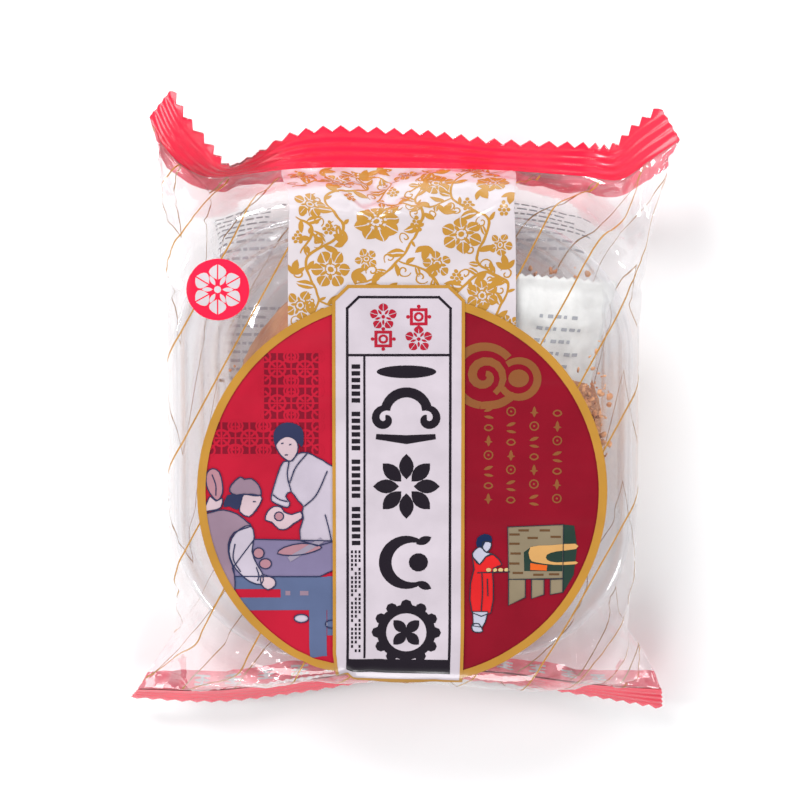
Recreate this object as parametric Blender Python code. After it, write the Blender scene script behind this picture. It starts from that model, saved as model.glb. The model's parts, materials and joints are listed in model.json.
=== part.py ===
"""A mooncake in its clear flow wrap, lying on its back, as one closed solid.

The wrap is a tube of film drawn round a tray, crimped flat and cut to teeth at both ends. The solid
is its outer shape: a section like a rounded trapezium over the tray runs out to two flat crimped
ends, whose corners stand up as ears. +X is the pack's right, +Y its top end, +Z the printed face.
The origin is the middle of the flat back that it lies on.
"""

import math

import bmesh
import bpy
import numpy as np
from mathutils import Vector

# The tray inside, and the film round it, in metres
BODY_WIDTH = 0.082
BASE_WIDTH = 0.064
BODY_HEIGHT = 0.0285
FACE_FILLET = 0.0045
BASE_FILLET = 0.0060
RIM_HALF_LENGTH = 0.0392
RIM_CORNER = 0.025
BASE_HALF_LENGTH = 0.0315
BASE_CORNER = 0.018

# The crimped ends
TEETH = 36
TOOTH_HEIGHT = 0.0011
CRIMP_THICKNESS = 0.0006

# How finely the loft is cut along its length
STATIONS_PER_END = 13
SAMPLES = 200

# Each crimp's two edges, from its left corner to its right one. The first number is the place across
# the flattened film, from -1 to 1; the others are where the inner and the outer edge lie.
TOP_CRIMP = (
    (-1.00, (-0.0424, 0.0540, 0.0210), (-0.0387, 0.0590, 0.0235)),
    (-0.88, (-0.0408, 0.0497, 0.0190), (-0.0364, 0.0538, 0.0205)),
    (-0.76, (-0.0374, 0.0452, 0.0160), (-0.0327, 0.0484, 0.0165)),
    (-0.64, (-0.0330, 0.0424, 0.0120), (-0.0298, 0.0450, 0.0160)),
    (-0.50, (-0.0262, 0.0428, 0.0110), (-0.0254, 0.0464, 0.0155)),
    (-0.38, (-0.0200, 0.0438, 0.0130), (-0.0200, 0.0494, 0.0150)),
    (0.00, (0.0000, 0.0444, 0.0150), (0.0000, 0.0506, 0.0160)),
    (0.34, (0.0172, 0.0438, 0.0140), (0.0172, 0.0486, 0.0150)),
    (0.62, (0.0312, 0.0426, 0.0130), (0.0318, 0.0478, 0.0135)),
    (0.74, (0.0366, 0.0424, 0.0150), (0.0352, 0.0480, 0.0160)),
    (0.88, (0.0418, 0.0464, 0.0180), (0.0392, 0.0522, 0.0190)),
    (1.00, (0.0464, 0.0500, 0.0200), (0.0432, 0.0556, 0.0215)),
)
BOTTOM_CRIMP = (
    (-1.00, (-0.0460, -0.0484, 0.0085), (-0.0475, -0.0510, 0.0040)),
    (-0.66, (-0.0316, -0.0484, 0.0086), (-0.0318, -0.0518, 0.0032)),
    (-0.36, (-0.0174, -0.0468, 0.0082), (-0.0176, -0.0502, 0.0028)),
    (0.00, (0.0000, -0.0448, 0.0080), (0.0000, -0.0478, 0.0026)),
    (0.34, (0.0164, -0.0454, 0.0082), (0.0166, -0.0486, 0.0028)),
    (0.66, (0.0308, -0.0472, 0.0086), (0.0312, -0.0506, 0.0032)),
    (1.00, (0.0448, -0.0480, 0.0100), (0.0452, -0.0524, 0.0056)),
)
# How the front and the back film arrive at each crimp, as Y and Z; the bottom's front film bulges over it
ARRIVALS = {
    "top": ((0.55, -0.85), (0.85, 0.50)),
    "bottom": ((0.15, -1.30), (-0.90, 0.55)),
}
# How the film leaves the tray towards each end's left and right corners, as X outward and Y
DEPARTURES = {
    "top": ((0.05, 0.70), (0.20, 0.40)),
    "bottom": ((-0.35, 0.90), (-0.35, 0.90)),
}

# The power with which the film's lines turn straight towards its left and its right edge
STRAIGHTENING = {"top": (4.0, 4.0), "bottom": (1.5, 3.0)}


def clear_scene():
    for obj in list(bpy.data.objects):
        bpy.data.objects.remove(obj, do_unlink=True)


def film_material():
    made = bpy.data.materials.new("clear_film")
    made.use_nodes = True
    surface = made.node_tree.nodes["Principled BSDF"]
    surface.inputs["Base Color"].default_value = (0.80, 0.62, 0.62, 1.0)
    surface.inputs["Roughness"].default_value = 0.15
    surface.inputs["Metallic"].default_value = 0.0
    return made


def rounded_line(corners, radii):
    """A polyline through the corners, each turned by an arc of its own radius."""
    corners = [np.array(c, float) for c in corners]
    points = [corners[0]]
    for before, corner, after, radius in zip(corners, corners[1:], corners[2:], radii):
        arriving = (corner - before) / np.linalg.norm(corner - before)
        leaving = (after - corner) / np.linalg.norm(after - corner)
        turn = math.acos(float(np.clip(arriving @ leaving, -1.0, 1.0)))
        set_back = radius * math.tan(turn / 2)
        start = corner - arriving * set_back
        middle = start + radius * perpendicular(arriving, leaving)
        spoke = start - middle
        side = arriving * radius
        points += [middle + spoke * math.cos(a) + side * math.sin(a) for a in np.linspace(0, turn, 12)]
    return np.array(points + [corners[-1]])


def perpendicular(arriving, leaving):
    """The unit vector square to arriving, on the side that leaving turns to."""
    square = leaving - arriving * (arriving @ leaving)
    return square / np.linalg.norm(square)


def at_share(line, shares):
    """Points at these shares of a polyline's length."""
    along = np.concatenate([[0], np.cumsum(np.linalg.norm(np.diff(line, axis=0), axis=1))])
    return np.stack([np.interp(np.asarray(shares) * along[-1], along, line[:, k]) for k in range(line.shape[1])], axis=1)


def smooth_through(stations, values, at):
    """A cubic through the values at rising stations, read at these places."""
    stations, values = np.array(stations, float), np.array(values, float)
    slopes = np.gradient(values, stations, axis=0)
    i = np.clip(np.searchsorted(stations, at) - 1, 0, len(stations) - 2)
    step = (stations[i + 1] - stations[i])[:, None]
    t = (at - stations[i])[:, None] / step
    return (
        (2 * t**3 - 3 * t**2 + 1) * values[i]
        + (t**3 - 2 * t**2 + t) * step * slopes[i]
        + (3 * t**2 - 2 * t**3) * values[i + 1]
        + (t**3 - t**2) * step * slopes[i + 1]
    )


def outline_reach(x, half_width, half_length, corner):
    """How far along Y a rounded rectangle reaches at each x."""
    into_corner = np.clip(np.abs(x) - (half_width - corner), 0, corner)
    return half_length - corner + np.sqrt(corner**2 - into_corner**2)


def body_section(across):
    """X, Z and the tray's reach along Y for places across the half tube, 0 at the face and 1 at the back."""
    corners = ((0, BODY_HEIGHT), (BODY_WIDTH / 2, BODY_HEIGHT), (BASE_WIDTH / 2, 0), (0, 0))
    points = at_share(rounded_line(corners, (FACE_FILLET, BASE_FILLET)), across)
    x, z = points[:, 0], points[:, 1]
    face = outline_reach(x, BODY_WIDTH / 2, RIM_HALF_LENGTH, RIM_CORNER)
    base = outline_reach(np.minimum(x, BASE_WIDTH / 2), BASE_WIDTH / 2, BASE_HALF_LENGTH, BASE_CORNER)
    share = z / BODY_HEIGHT
    return x, z, face * share + base * (1 - share)


def crimp_edges(table, across):
    """The inner and the outer edge of a crimp at places across the flattened film."""
    stations = [row[0] for row in table]
    return (smooth_through(stations, [row[k] for row in table], across) for k in (1, 2))


def corner_departures(end, across):
    """The way the film leaves the tray towards the corner on its own side, for each place across."""
    ways = []
    for place in across:
        outward, along = DEPARTURES[end][0 if place < 0 else 1]
        ways.append((math.copysign(outward, place * outward), along, 0))
    return np.array(ways)


def end_lines(end, front):
    """For one end and one side of the film, the lines from the middle of the pack to the crimp.

    It gives an array of shape (places across, samples, 3), left to right.
    """
    across = np.linspace(-1, 1, TEETH + 1)
    sign = 1.0 if end == "top" else -1.0
    round_half = np.abs(across) / 2 if front else 1 - np.abs(across) / 2
    x, z, reach = body_section(round_half)
    x = x * np.sign(across)
    inner, _ = crimp_edges(TOP_CRIMP if end == "top" else BOTTOM_CRIMP, across)
    leave = np.stack([x, sign * reach, z], axis=1)
    arrival_y, arrival_z = ARRIVALS[end][0 if front else 1]
    span = np.linalg.norm(inner - leave, axis=1, keepdims=True)
    near_edge = np.abs(across) ** np.where(across < 0, *STRAIGHTENING[end])
    near_edge = near_edge[:, None]
    departure = corner_departures(end, across) * near_edge + np.array([0, 1, 0]) * (1 - near_edge)
    leaving = departure * np.array([1, sign, 1]) * span
    arrival = np.array([0, arrival_y, arrival_z])
    straight = (inner - leave) / span
    arriving = (arrival * (1 - near_edge) + straight * near_edge) * span
    t = np.linspace(0, 1, SAMPLES)[None, :, None]
    curve = (
        (2 * t**3 - 3 * t**2 + 1) * leave[:, None]
        + (t**3 - 2 * t**2 + t) * leaving[:, None]
        + (3 * t**2 - 2 * t**3) * inner[:, None]
        + (t**3 - t**2) * arriving[:, None]
    )
    middle = np.stack([x, 0 * x, z], axis=1)[:, None]
    return np.concatenate([middle, curve], axis=1)


def rings():
    """The closed rings of the solid, from the bottom crimp's outer edge to the top one's."""
    across = np.linspace(-1, 1, TEETH + 1)
    shares = np.linspace(0, 1, STATIONS_PER_END + 1)
    found = {}
    for end, table in (("bottom", BOTTOM_CRIMP), ("top", TOP_CRIMP)):
        sides = []
        inner, outer = crimp_edges(table, across)
        normal = crimp_normal(inner, outer)
        taper = np.sqrt(np.clip(1 - across**4, 0, 1))[:, None]
        for front in (True, False):
            lines = np.stack([at_share(line, shares) for line in end_lines(end, front)], axis=1)
            lift = normal * taper * CRIMP_THICKNESS / 2 * (1 if front else -1)
            near_crimp = shares[:, None, None] ** 6
            lines = lines + lift * near_crimp
            sides.append(np.concatenate([lines, (outer + lift)[None]], axis=0))
        front, back = sides
        found[end] = [np.concatenate([f, b[-2:0:-1]], axis=0) for f, b in zip(front, back)]
    return found["bottom"][:0:-1] + found["top"]


def crimp_normal(inner, outer):
    """The crimp's own normal at each place across, on the printed side."""
    along = np.gradient(inner, axis=0)
    normal = np.cross(along, outer - inner)
    normal = normal / np.linalg.norm(normal, axis=1, keepdims=True)
    return normal * np.sign(normal[:, 2:])


def add_teeth(mesh, ring, outward):
    """Closes the ring at a crimp's outer edge with a row of teeth, front and back."""
    count = len(ring)
    for i in range(TEETH):
        front = ring[i], ring[i + 1]
        back = ring[-i % count], ring[-(i + 1) % count]
        tips = [mesh.verts.new((a.co + b.co) / 2 + outward[i]) for a, b in (front, back)]
        mesh.faces.new((front[0], front[1], tips[0]))
        mesh.faces.new((back[1], back[0], tips[1]))
        for f, b in zip(front, back):
            mesh.faces.new((f, tips[0], tips[1]) if f is b else (f, tips[0], tips[1], b))


def tooth_vectors(table):
    """For each tooth, the step from its root's middle to its tip."""
    across = np.linspace(-1, 1, TEETH + 1)
    inner, outer = crimp_edges(table, (across[1:] + across[:-1]) / 2)
    return [Vector(step).normalized() * TOOTH_HEIGHT for step in outer - inner]


def make_pack():
    mesh = bmesh.new()
    loops = [[mesh.verts.new(p) for p in ring] for ring in rings()]
    count = len(loops[0])
    for near, far in zip(loops, loops[1:]):
        for i in range(count):
            j = (i + 1) % count
            mesh.faces.new((near[i], near[j], far[j], far[i]))
    for ring, table in ((loops[0], BOTTOM_CRIMP), (loops[-1], TOP_CRIMP)):
        add_teeth(mesh, ring, tooth_vectors(table))
    bmesh.ops.recalc_face_normals(mesh, faces=mesh.faces)
    data = bpy.data.meshes.new("film_pack")
    mesh.to_mesh(data)
    mesh.free()
    data.shade_smooth()
    return bpy.data.objects.new("film_pack", data)


def main():
    clear_scene()
    group = bpy.data.collections.new("wrapped_mooncake")
    bpy.context.scene.collection.children.link(group)
    pack = make_pack()
    pack.data.materials.append(film_material())
    group.objects.link(pack)


main()
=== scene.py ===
"""A mooncake in its clear printed flow wrap: the film, its print, the tray, the pastry and the sachet.

Everything is in metres. +X is the pack's right, +Y its top end and +Z the printed face, and the pack
lies on the plane Z = 0. Print is drawn flat, in millimetres from the middle of the face, and is then
laid along the film wherever the film goes.
"""

import json
import math

import bmesh
import bpy
import numpy as np
from bpy.props import FloatProperty, FloatVectorProperty, IntProperty, PointerProperty
from mathutils import Euler, Matrix, Vector, geometry, noise

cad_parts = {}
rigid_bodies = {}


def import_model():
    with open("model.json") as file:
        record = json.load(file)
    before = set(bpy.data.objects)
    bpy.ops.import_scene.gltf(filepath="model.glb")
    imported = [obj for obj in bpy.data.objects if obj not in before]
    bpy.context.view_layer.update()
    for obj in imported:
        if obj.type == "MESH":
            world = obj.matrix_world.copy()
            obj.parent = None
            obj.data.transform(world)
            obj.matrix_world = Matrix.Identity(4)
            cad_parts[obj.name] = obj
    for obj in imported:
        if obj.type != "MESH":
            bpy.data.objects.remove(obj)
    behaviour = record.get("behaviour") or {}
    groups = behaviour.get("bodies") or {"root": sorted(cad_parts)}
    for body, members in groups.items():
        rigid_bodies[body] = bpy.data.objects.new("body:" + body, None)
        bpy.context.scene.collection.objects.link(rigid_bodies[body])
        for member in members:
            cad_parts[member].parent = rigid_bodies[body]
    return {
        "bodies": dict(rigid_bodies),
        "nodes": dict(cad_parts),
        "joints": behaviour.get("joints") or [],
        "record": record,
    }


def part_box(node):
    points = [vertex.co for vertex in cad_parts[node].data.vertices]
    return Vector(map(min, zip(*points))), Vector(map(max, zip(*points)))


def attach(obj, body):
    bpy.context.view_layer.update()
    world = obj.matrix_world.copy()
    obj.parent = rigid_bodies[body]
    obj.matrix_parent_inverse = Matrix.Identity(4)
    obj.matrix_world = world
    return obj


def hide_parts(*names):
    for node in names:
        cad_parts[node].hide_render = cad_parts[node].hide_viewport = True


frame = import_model()
PACK = "film_pack"
PACK_LOW, PACK_HIGH = (Vector(corner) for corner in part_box(PACK))
MM = 0.001

bl_info = {
    "name": "Wrapped Mooncake",
    "version": (1, 0, 0),
    "blender": (4, 5, 0),
    "location": "View3D > Sidebar > Mooncake",
    "description": "Builds a mooncake in its tray and printed flow wrap",
    "category": "Add Mesh",
}

# ------------------------------------------------------------------------------------------ settings


def length(name, description, default):
    return FloatProperty(name=name, description=description, default=default, unit="LENGTH", precision=5)


def colour(name, description, default):
    return FloatVectorProperty(name=name, description=description, default=default, subtype="COLOR", min=0,
                               max=1)


class FilmSettings(bpy.types.PropertyGroup):
    """Sizes of the film wrap."""

    body_width: length("Body width", "Width of the wrapped tray across its rim", 0.0820)
    base_width: length("Base width", "Width of the wrapped tray across its flat back", 0.0640)
    height: length("Height", "Height of the printed face above the back", PACK_HIGH.z - 0.0003)
    top_length: length("Top length", "Film from the middle of the tray to the top crimp", 0.0548)
    bottom_length: length("Bottom length", "Film from the middle of the tray to the bottom crimp", 0.0630)
    crimp_width: length("Crimp width", "Width of a crimped end", 0.0062)
    tooth_height: length("Tooth height", "How far the cut teeth stand out", 0.0011)
    slack: FloatProperty(name="Slack", description="How much longer the film is than the way round",
                         default=0.022)
    fold_depth: length("Fold depth", "Depth of the sharp folds near the corners", 0.00036)
    seal_gap: length("Seal gap", "Distance between front and back film in a crimp", 0.00024)


class PrintSettings(bpy.types.PropertyGroup):
    """Sizes and colours of the print. Its sizes are in millimetres of film."""

    medallion: FloatProperty(name="Medallion radius", description="Outer radius of the gold ring",
                             default=33.8)
    ring: FloatProperty(name="Ring width", description="Width of the gold ring", default=1.4)
    band_red: colour("Band", "Red of the two ends", (0.93, 0.018, 0.062))
    bright_red: colour("Bright red", "Left half of the medallion", (0.46, 0.012, 0.034))
    deep_red: colour("Deep red", "Right half of the medallion", (0.235, 0.006, 0.018))
    dark_red: colour("Lattice red", "Lattice on the medallion", (0.20, 0.008, 0.022))
    gold: colour("Gold", "Flowers, ring and outlines", (0.47, 0.235, 0.040))
    brown_gold: colour("Brown gold", "Cloud and marks on the dark half", (0.25, 0.088, 0.030))
    panel: colour("Panel", "Pale ground behind the flowers", (0.62, 0.56, 0.59))
    plaque: colour("Plaque", "Pale ground of the plaque", (0.57, 0.505, 0.56))
    black: colour("Black", "Bold motifs and frames", (0.016, 0.012, 0.018))
    grey: colour("Grey", "Small dashes on the back", (0.58, 0.58, 0.63))


class TraySettings(bpy.types.PropertyGroup):
    """Sizes of the clear tray."""

    rim_width: length("Rim width", "Width of the tray over its rim", 0.0774)
    rim_length: length("Rim length", "Length of the tray over its rim", 0.0764)
    base_width: length("Base width", "Width of the tray's base", 0.0620)
    base_length: length("Base length", "Length of the tray's base", 0.0600)
    height: length("Height", "Height of the rim over the table", 0.0272)
    wall: length("Wall", "Thickness of the plastic", 0.0003)


class PastrySettings(bpy.types.PropertyGroup):
    """Sizes and colours of the mooncake."""

    diameter: length("Diameter", "Across the pastry", 0.0645)
    height: length("Height", "Height of the pastry", 0.0245)
    baked: colour("Baked", "Darkest crust", (0.36, 0.095, 0.032))
    golden: colour("Golden", "Lighter crust", (0.66, 0.30, 0.13))


class SachetSettings(bpy.types.PropertyGroup):
    """Sizes of the sachet beside the pastry."""

    width: length("Width", "Across the sachet", 0.0185)
    length: length("Length", "Along the sachet, seals included", 0.0230)
    puff: length("Puff", "How thick the filled middle is", 0.0028)


class StageSettings(bpy.types.PropertyGroup):
    """The floor, the lights and the camera."""

    tilt: FloatProperty(name="Tilt", description="Camera's lean from straight above, towards the top end",
                        default=math.radians(12), subtype="ANGLE")
    distance: length("Distance", "From the camera to the pack", 0.9)
    view_width: length("View width", "Width of the picture at the pack", 0.1356)
    floor: colour("Floor", "Colour of the floor", (0.98, 0.98, 0.985))


SETTINGS = {"film": FilmSettings, "print": PrintSettings, "tray": TraySettings, "pastry": PastrySettings,
            "sachet": SachetSettings, "stage": StageSettings}


class MooncakeSettings(bpy.types.PropertyGroup):
    """All settings of the wrapped mooncake."""

    film: PointerProperty(type=FilmSettings)
    print: PointerProperty(type=PrintSettings)
    tray: PointerProperty(type=TraySettings)
    pastry: PointerProperty(type=PastrySettings)
    sachet: PointerProperty(type=SachetSettings)
    stage: PointerProperty(type=StageSettings)


def settings():
    return bpy.context.scene.mooncake


# --------------------------------------------------------------------------------------- materials


class Nodes:
    """A short way to lay out a material's nodes."""

    def __init__(self, name):
        self.material = bpy.data.materials.new(name)
        self.material.use_nodes = True
        self.tree = self.material.node_tree
        self.tree.nodes.clear()
        self.output = self.tree.nodes.new("ShaderNodeOutputMaterial")

    def add(self, kind, **values):
        node = self.tree.nodes.new("ShaderNode" + kind)
        for key, value in values.items():
            name = key.replace("_", " ")
            if name in node.inputs:
                if isinstance(value, bpy.types.NodeSocket):
                    self.tree.links.new(value, node.inputs[name])
                else:
                    node.inputs[name].default_value = value
            else:
                setattr(node, key, value)
        return node

    def join(self, source, target):
        self.tree.links.new(source, target)

    def surface(self, shader):
        self.join(shader, self.output.inputs["Surface"])
        return self.material

    def object_noise(self, scale, detail=3.0, stretch=(1, 1, 1)):
        place = self.add("TexCoord").outputs["Object"]
        mapped = self.add("Mapping", Vector=place, Scale=stretch)
        return self.add("TexNoise", Vector=mapped.outputs["Vector"], Scale=scale, Detail=detail)

    def ramp(self, factor, *stops):
        node = self.add("ValToRGB")
        self.join(factor, node.inputs["Fac"])
        elements = node.color_ramp.elements
        while len(elements) < len(stops):
            elements.new(0.5)
        for element, (place, tint) in zip(elements, stops):
            element.position = place
            element.color = (*tint, 1) if len(tint) == 3 else tint
        return node.outputs["Color"]

    def bump(self, height, distance, strength=1.0):
        return self.add("Bump", Height=height, Distance=distance, Strength=strength).outputs["Normal"]


def shaded(tint, factor):
    return tuple(min(1.0, channel * factor) for channel in tint)


def ink_material(name, tint, roughness=0.22):
    """Ink behind glossy film, with slight unevenness of the print."""
    n = Nodes(name)
    cloudiness = n.object_noise(140.0).outputs["Fac"]
    tone = n.ramp(cloudiness, (0.35, shaded(tint, 0.93)), (0.65, shaded(tint, 1.05)))
    ripple = n.object_noise(320.0, 2.0, (1, 0.5, 1)).outputs["Fac"]
    shader = n.add("BsdfPrincipled", Base_Color=tone, Roughness=roughness,
                   Normal=n.bump(ripple, 0.00006, 0.35))
    shader.inputs["Coat Weight"].default_value = 0.4
    shader.inputs["Coat Roughness"].default_value = 0.06
    return n.surface(shader.outputs["BSDF"])


def clear_material(name, tint, haze, mirror, roughness, ripple_scale, ripple_depth):
    """A clear skin: what is behind shows through, with more mirror towards its edges."""
    n = Nodes(name)
    ripple = n.object_noise(ripple_scale, 3.0).outputs["Fac"]
    normal = n.bump(ripple, ripple_depth)
    facing = n.add("LayerWeight", Blend=0.5).outputs["Facing"]
    power = n.add("Math", operation="POWER")
    n.join(facing, power.inputs[0])
    power.inputs[1].default_value = 4.0
    share = n.add("Math", operation="MULTIPLY_ADD")
    n.join(power.outputs[0], share.inputs[0])
    share.inputs[1].default_value = 0.75
    share.inputs[2].default_value = mirror
    through = n.add("BsdfTransparent", Color=(*tint, 1))
    milk = n.add("BsdfDiffuse", Color=(0.92, 0.92, 0.95, 1), Normal=normal)
    hazy = n.add("MixShader", Fac=haze)
    n.join(through.outputs[0], hazy.inputs[1])
    n.join(milk.outputs[0], hazy.inputs[2])
    gloss = n.add("BsdfGlossy", Color=(1, 1, 1, 1), Roughness=roughness, Normal=normal)
    mixed = n.add("MixShader")
    n.join(share.outputs[0], mixed.inputs["Fac"])
    n.join(hazy.outputs[0], mixed.inputs[1])
    n.join(gloss.outputs[0], mixed.inputs[2])
    return n.surface(mixed.outputs[0])


def crust_material():
    p = settings().pastry
    n = Nodes("baked_crust")
    patches = n.object_noise(95.0, 6.0).outputs["Fac"]
    tone = n.ramp(patches, (0.30, tuple(p.baked)), (0.52, shaded(p.golden, 0.75)), (0.72, tuple(p.golden)))
    grain = n.object_noise(900.0, 5.0).outputs["Fac"]
    shader = n.add("BsdfPrincipled", Base_Color=tone, Roughness=0.62, Normal=n.bump(grain, 0.0003))
    return n.surface(shader.outputs["BSDF"])


def paper_material():
    n = Nodes("sachet_paper")
    fibre = n.object_noise(700.0, 4.0).outputs["Fac"]
    tone = n.ramp(fibre, (0.3, (0.80, 0.80, 0.78)), (0.7, (0.90, 0.90, 0.88)))
    shader = n.add("BsdfPrincipled", Base_Color=tone, Roughness=0.45, Normal=n.bump(fibre, 0.00008))
    return n.surface(shader.outputs["BSDF"])


# ------------------------------------------------------------------------------- the film's own form

TEETH = 36
COLUMNS = 2 * TEETH
ROWS = 40
CRIMP_ROWS = 8
FACE_FILLET = 0.0045
BASE_FILLET = 0.0060
RIM_HALF_LENGTH = 0.0392
RIM_CORNER = 0.025
BASE_HALF_LENGTH = 0.0315
BASE_CORNER = 0.018
EVEN_PRINT = 0.030

# How far the film and the print on its back stay above the floor
FILM_CLEARANCE = 0.0002
PRINT_CLEARANCE = 0.00002

# Each crimp's two edges from left to right: the place across the flattened film, the inner and the outer edge
TOP_CRIMP = (
    (-1.00, (-0.0424, 0.0540, 0.0210), (-0.0387, 0.0590, 0.0235)),
    (-0.88, (-0.0408, 0.0497, 0.0190), (-0.0364, 0.0538, 0.0205)),
    (-0.76, (-0.0374, 0.0452, 0.0160), (-0.0327, 0.0484, 0.0165)),
    (-0.64, (-0.0330, 0.0424, 0.0120), (-0.0298, 0.0450, 0.0160)),
    (-0.50, (-0.0262, 0.0428, 0.0110), (-0.0254, 0.0464, 0.0155)),
    (-0.38, (-0.0200, 0.0438, 0.0130), (-0.0200, 0.0494, 0.0150)),
    (0.00, (0.0000, 0.0444, 0.0150), (0.0000, 0.0506, 0.0160)),
    (0.34, (0.0172, 0.0438, 0.0140), (0.0172, 0.0486, 0.0150)),
    (0.62, (0.0312, 0.0426, 0.0130), (0.0318, 0.0478, 0.0135)),
    (0.74, (0.0366, 0.0424, 0.0150), (0.0352, 0.0480, 0.0160)),
    (0.88, (0.0418, 0.0464, 0.0180), (0.0392, 0.0522, 0.0190)),
    (1.00, (0.0464, 0.0500, 0.0200), (0.0432, 0.0556, 0.0215)),
)
BOTTOM_CRIMP = (
    (-1.00, (-0.0460, -0.0484, 0.0085), (-0.0475, -0.0510, 0.0040)),
    (-0.66, (-0.0316, -0.0484, 0.0086), (-0.0318, -0.0518, 0.0032)),
    (-0.36, (-0.0174, -0.0468, 0.0082), (-0.0176, -0.0502, 0.0028)),
    (0.00, (0.0000, -0.0448, 0.0080), (0.0000, -0.0478, 0.0026)),
    (0.34, (0.0164, -0.0454, 0.0082), (0.0166, -0.0486, 0.0028)),
    (0.66, (0.0308, -0.0472, 0.0086), (0.0312, -0.0506, 0.0032)),
    (1.00, (0.0448, -0.0480, 0.0100), (0.0452, -0.0524, 0.0056)),
)
# How front and back film arrive at each crimp, as Y and Z, and leave the tray's left and right corners
ARRIVALS = {"top": ((0.55, -0.85), (0.85, 0.50)), "bottom": ((0.15, -1.30), (-0.90, 0.55))}
DEPARTURES = {"top": ((0.05, 0.70), (0.20, 0.40)), "bottom": ((-0.35, 0.90), (-0.35, 0.90))}
# The power with which the film's lines turn straight towards its left and its right edge
STRAIGHTENING = {"top": (4.0, 4.0), "bottom": (1.5, 3.0)}


def rounded_line(corners, radii):
    """A polyline through the corners, each turned by an arc of its own radius."""
    corners = [np.array(c, float) for c in corners]
    points = [corners[0]]
    for before, corner, after, radius in zip(corners, corners[1:], corners[2:], radii):
        arriving = (corner - before) / np.linalg.norm(corner - before)
        leaving = (after - corner) / np.linalg.norm(after - corner)
        turn = math.acos(float(np.clip(arriving @ leaving, -1.0, 1.0)))
        start = corner - arriving * radius * math.tan(turn / 2)
        square = leaving - arriving * (arriving @ leaving)
        spoke = -radius * square / np.linalg.norm(square)
        arc = np.linspace(0, turn, 12)[:, None]
        points += list(start - spoke + spoke * np.cos(arc) + arriving * radius * np.sin(arc))
    return np.array(points + [corners[-1]])


def lengths_along(line):
    return np.concatenate([[0], np.cumsum(np.linalg.norm(np.diff(line, axis=0), axis=1))])


def points_along(line, at):
    along = lengths_along(line)
    return np.stack([np.interp(at, along, line[:, k]) for k in range(line.shape[1])], axis=1)


def hermite(t, start, leaving, end, arriving):
    return ((2 * t**3 - 3 * t**2 + 1) * start + (t**3 - 2 * t**2 + t) * leaving
            + (3 * t**2 - 2 * t**3) * end + (t**3 - t**2) * arriving)


def smooth_through(stations, values, at):
    """A cubic through the values at rising stations, read at these places."""
    stations, values = np.array(stations, float), np.array(values, float)
    slopes = np.gradient(values, stations, axis=0)
    i = np.clip(np.searchsorted(stations, at) - 1, 0, len(stations) - 2)
    step = (stations[i + 1] - stations[i])[:, None]
    t = (at - stations[i])[:, None] / step
    return hermite(t, values[i], step * slopes[i], values[i + 1], step * slopes[i + 1])


def reach_of_outline(x, half_width, half_length, corner):
    """How far along Y a rounded rectangle reaches at each x."""
    into_corner = np.clip(np.abs(x) - (half_width - corner), 0, corner)
    return half_length - corner + np.sqrt(corner**2 - into_corner**2)


def half_section():
    """Half the film's round over the tray, from the face's middle to the back's."""
    f = settings().film
    corners = ((0, f.height), (f.body_width / 2, f.height), (f.base_width / 2, 0), (0, 0))
    return rounded_line(corners, (FACE_FILLET, BASE_FILLET))


def body_section(across):
    f = settings().film
    section = half_section()
    points = points_along(section, np.asarray(across) * lengths_along(section)[-1])
    x, z = points[:, 0], points[:, 1]
    face = reach_of_outline(x, f.body_width / 2, RIM_HALF_LENGTH, RIM_CORNER)
    base = reach_of_outline(np.minimum(x, f.base_width / 2), f.base_width / 2, BASE_HALF_LENGTH,
                            BASE_CORNER)
    share = z / f.height
    return x, z, face * share + base * (1 - share)


def crimp_edges(end, across):
    table = TOP_CRIMP if end == "top" else BOTTOM_CRIMP
    stations = [row[0] for row in table]
    return [smooth_through(stations, [row[k] for row in table], across) for k in (1, 2)]


def crimp_normal(inner, outer):
    normal = np.cross(np.gradient(inner, axis=0), outer - inner)
    normal = normal / np.linalg.norm(normal, axis=1, keepdims=True)
    return normal * np.sign(normal[:, 2:])


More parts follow.
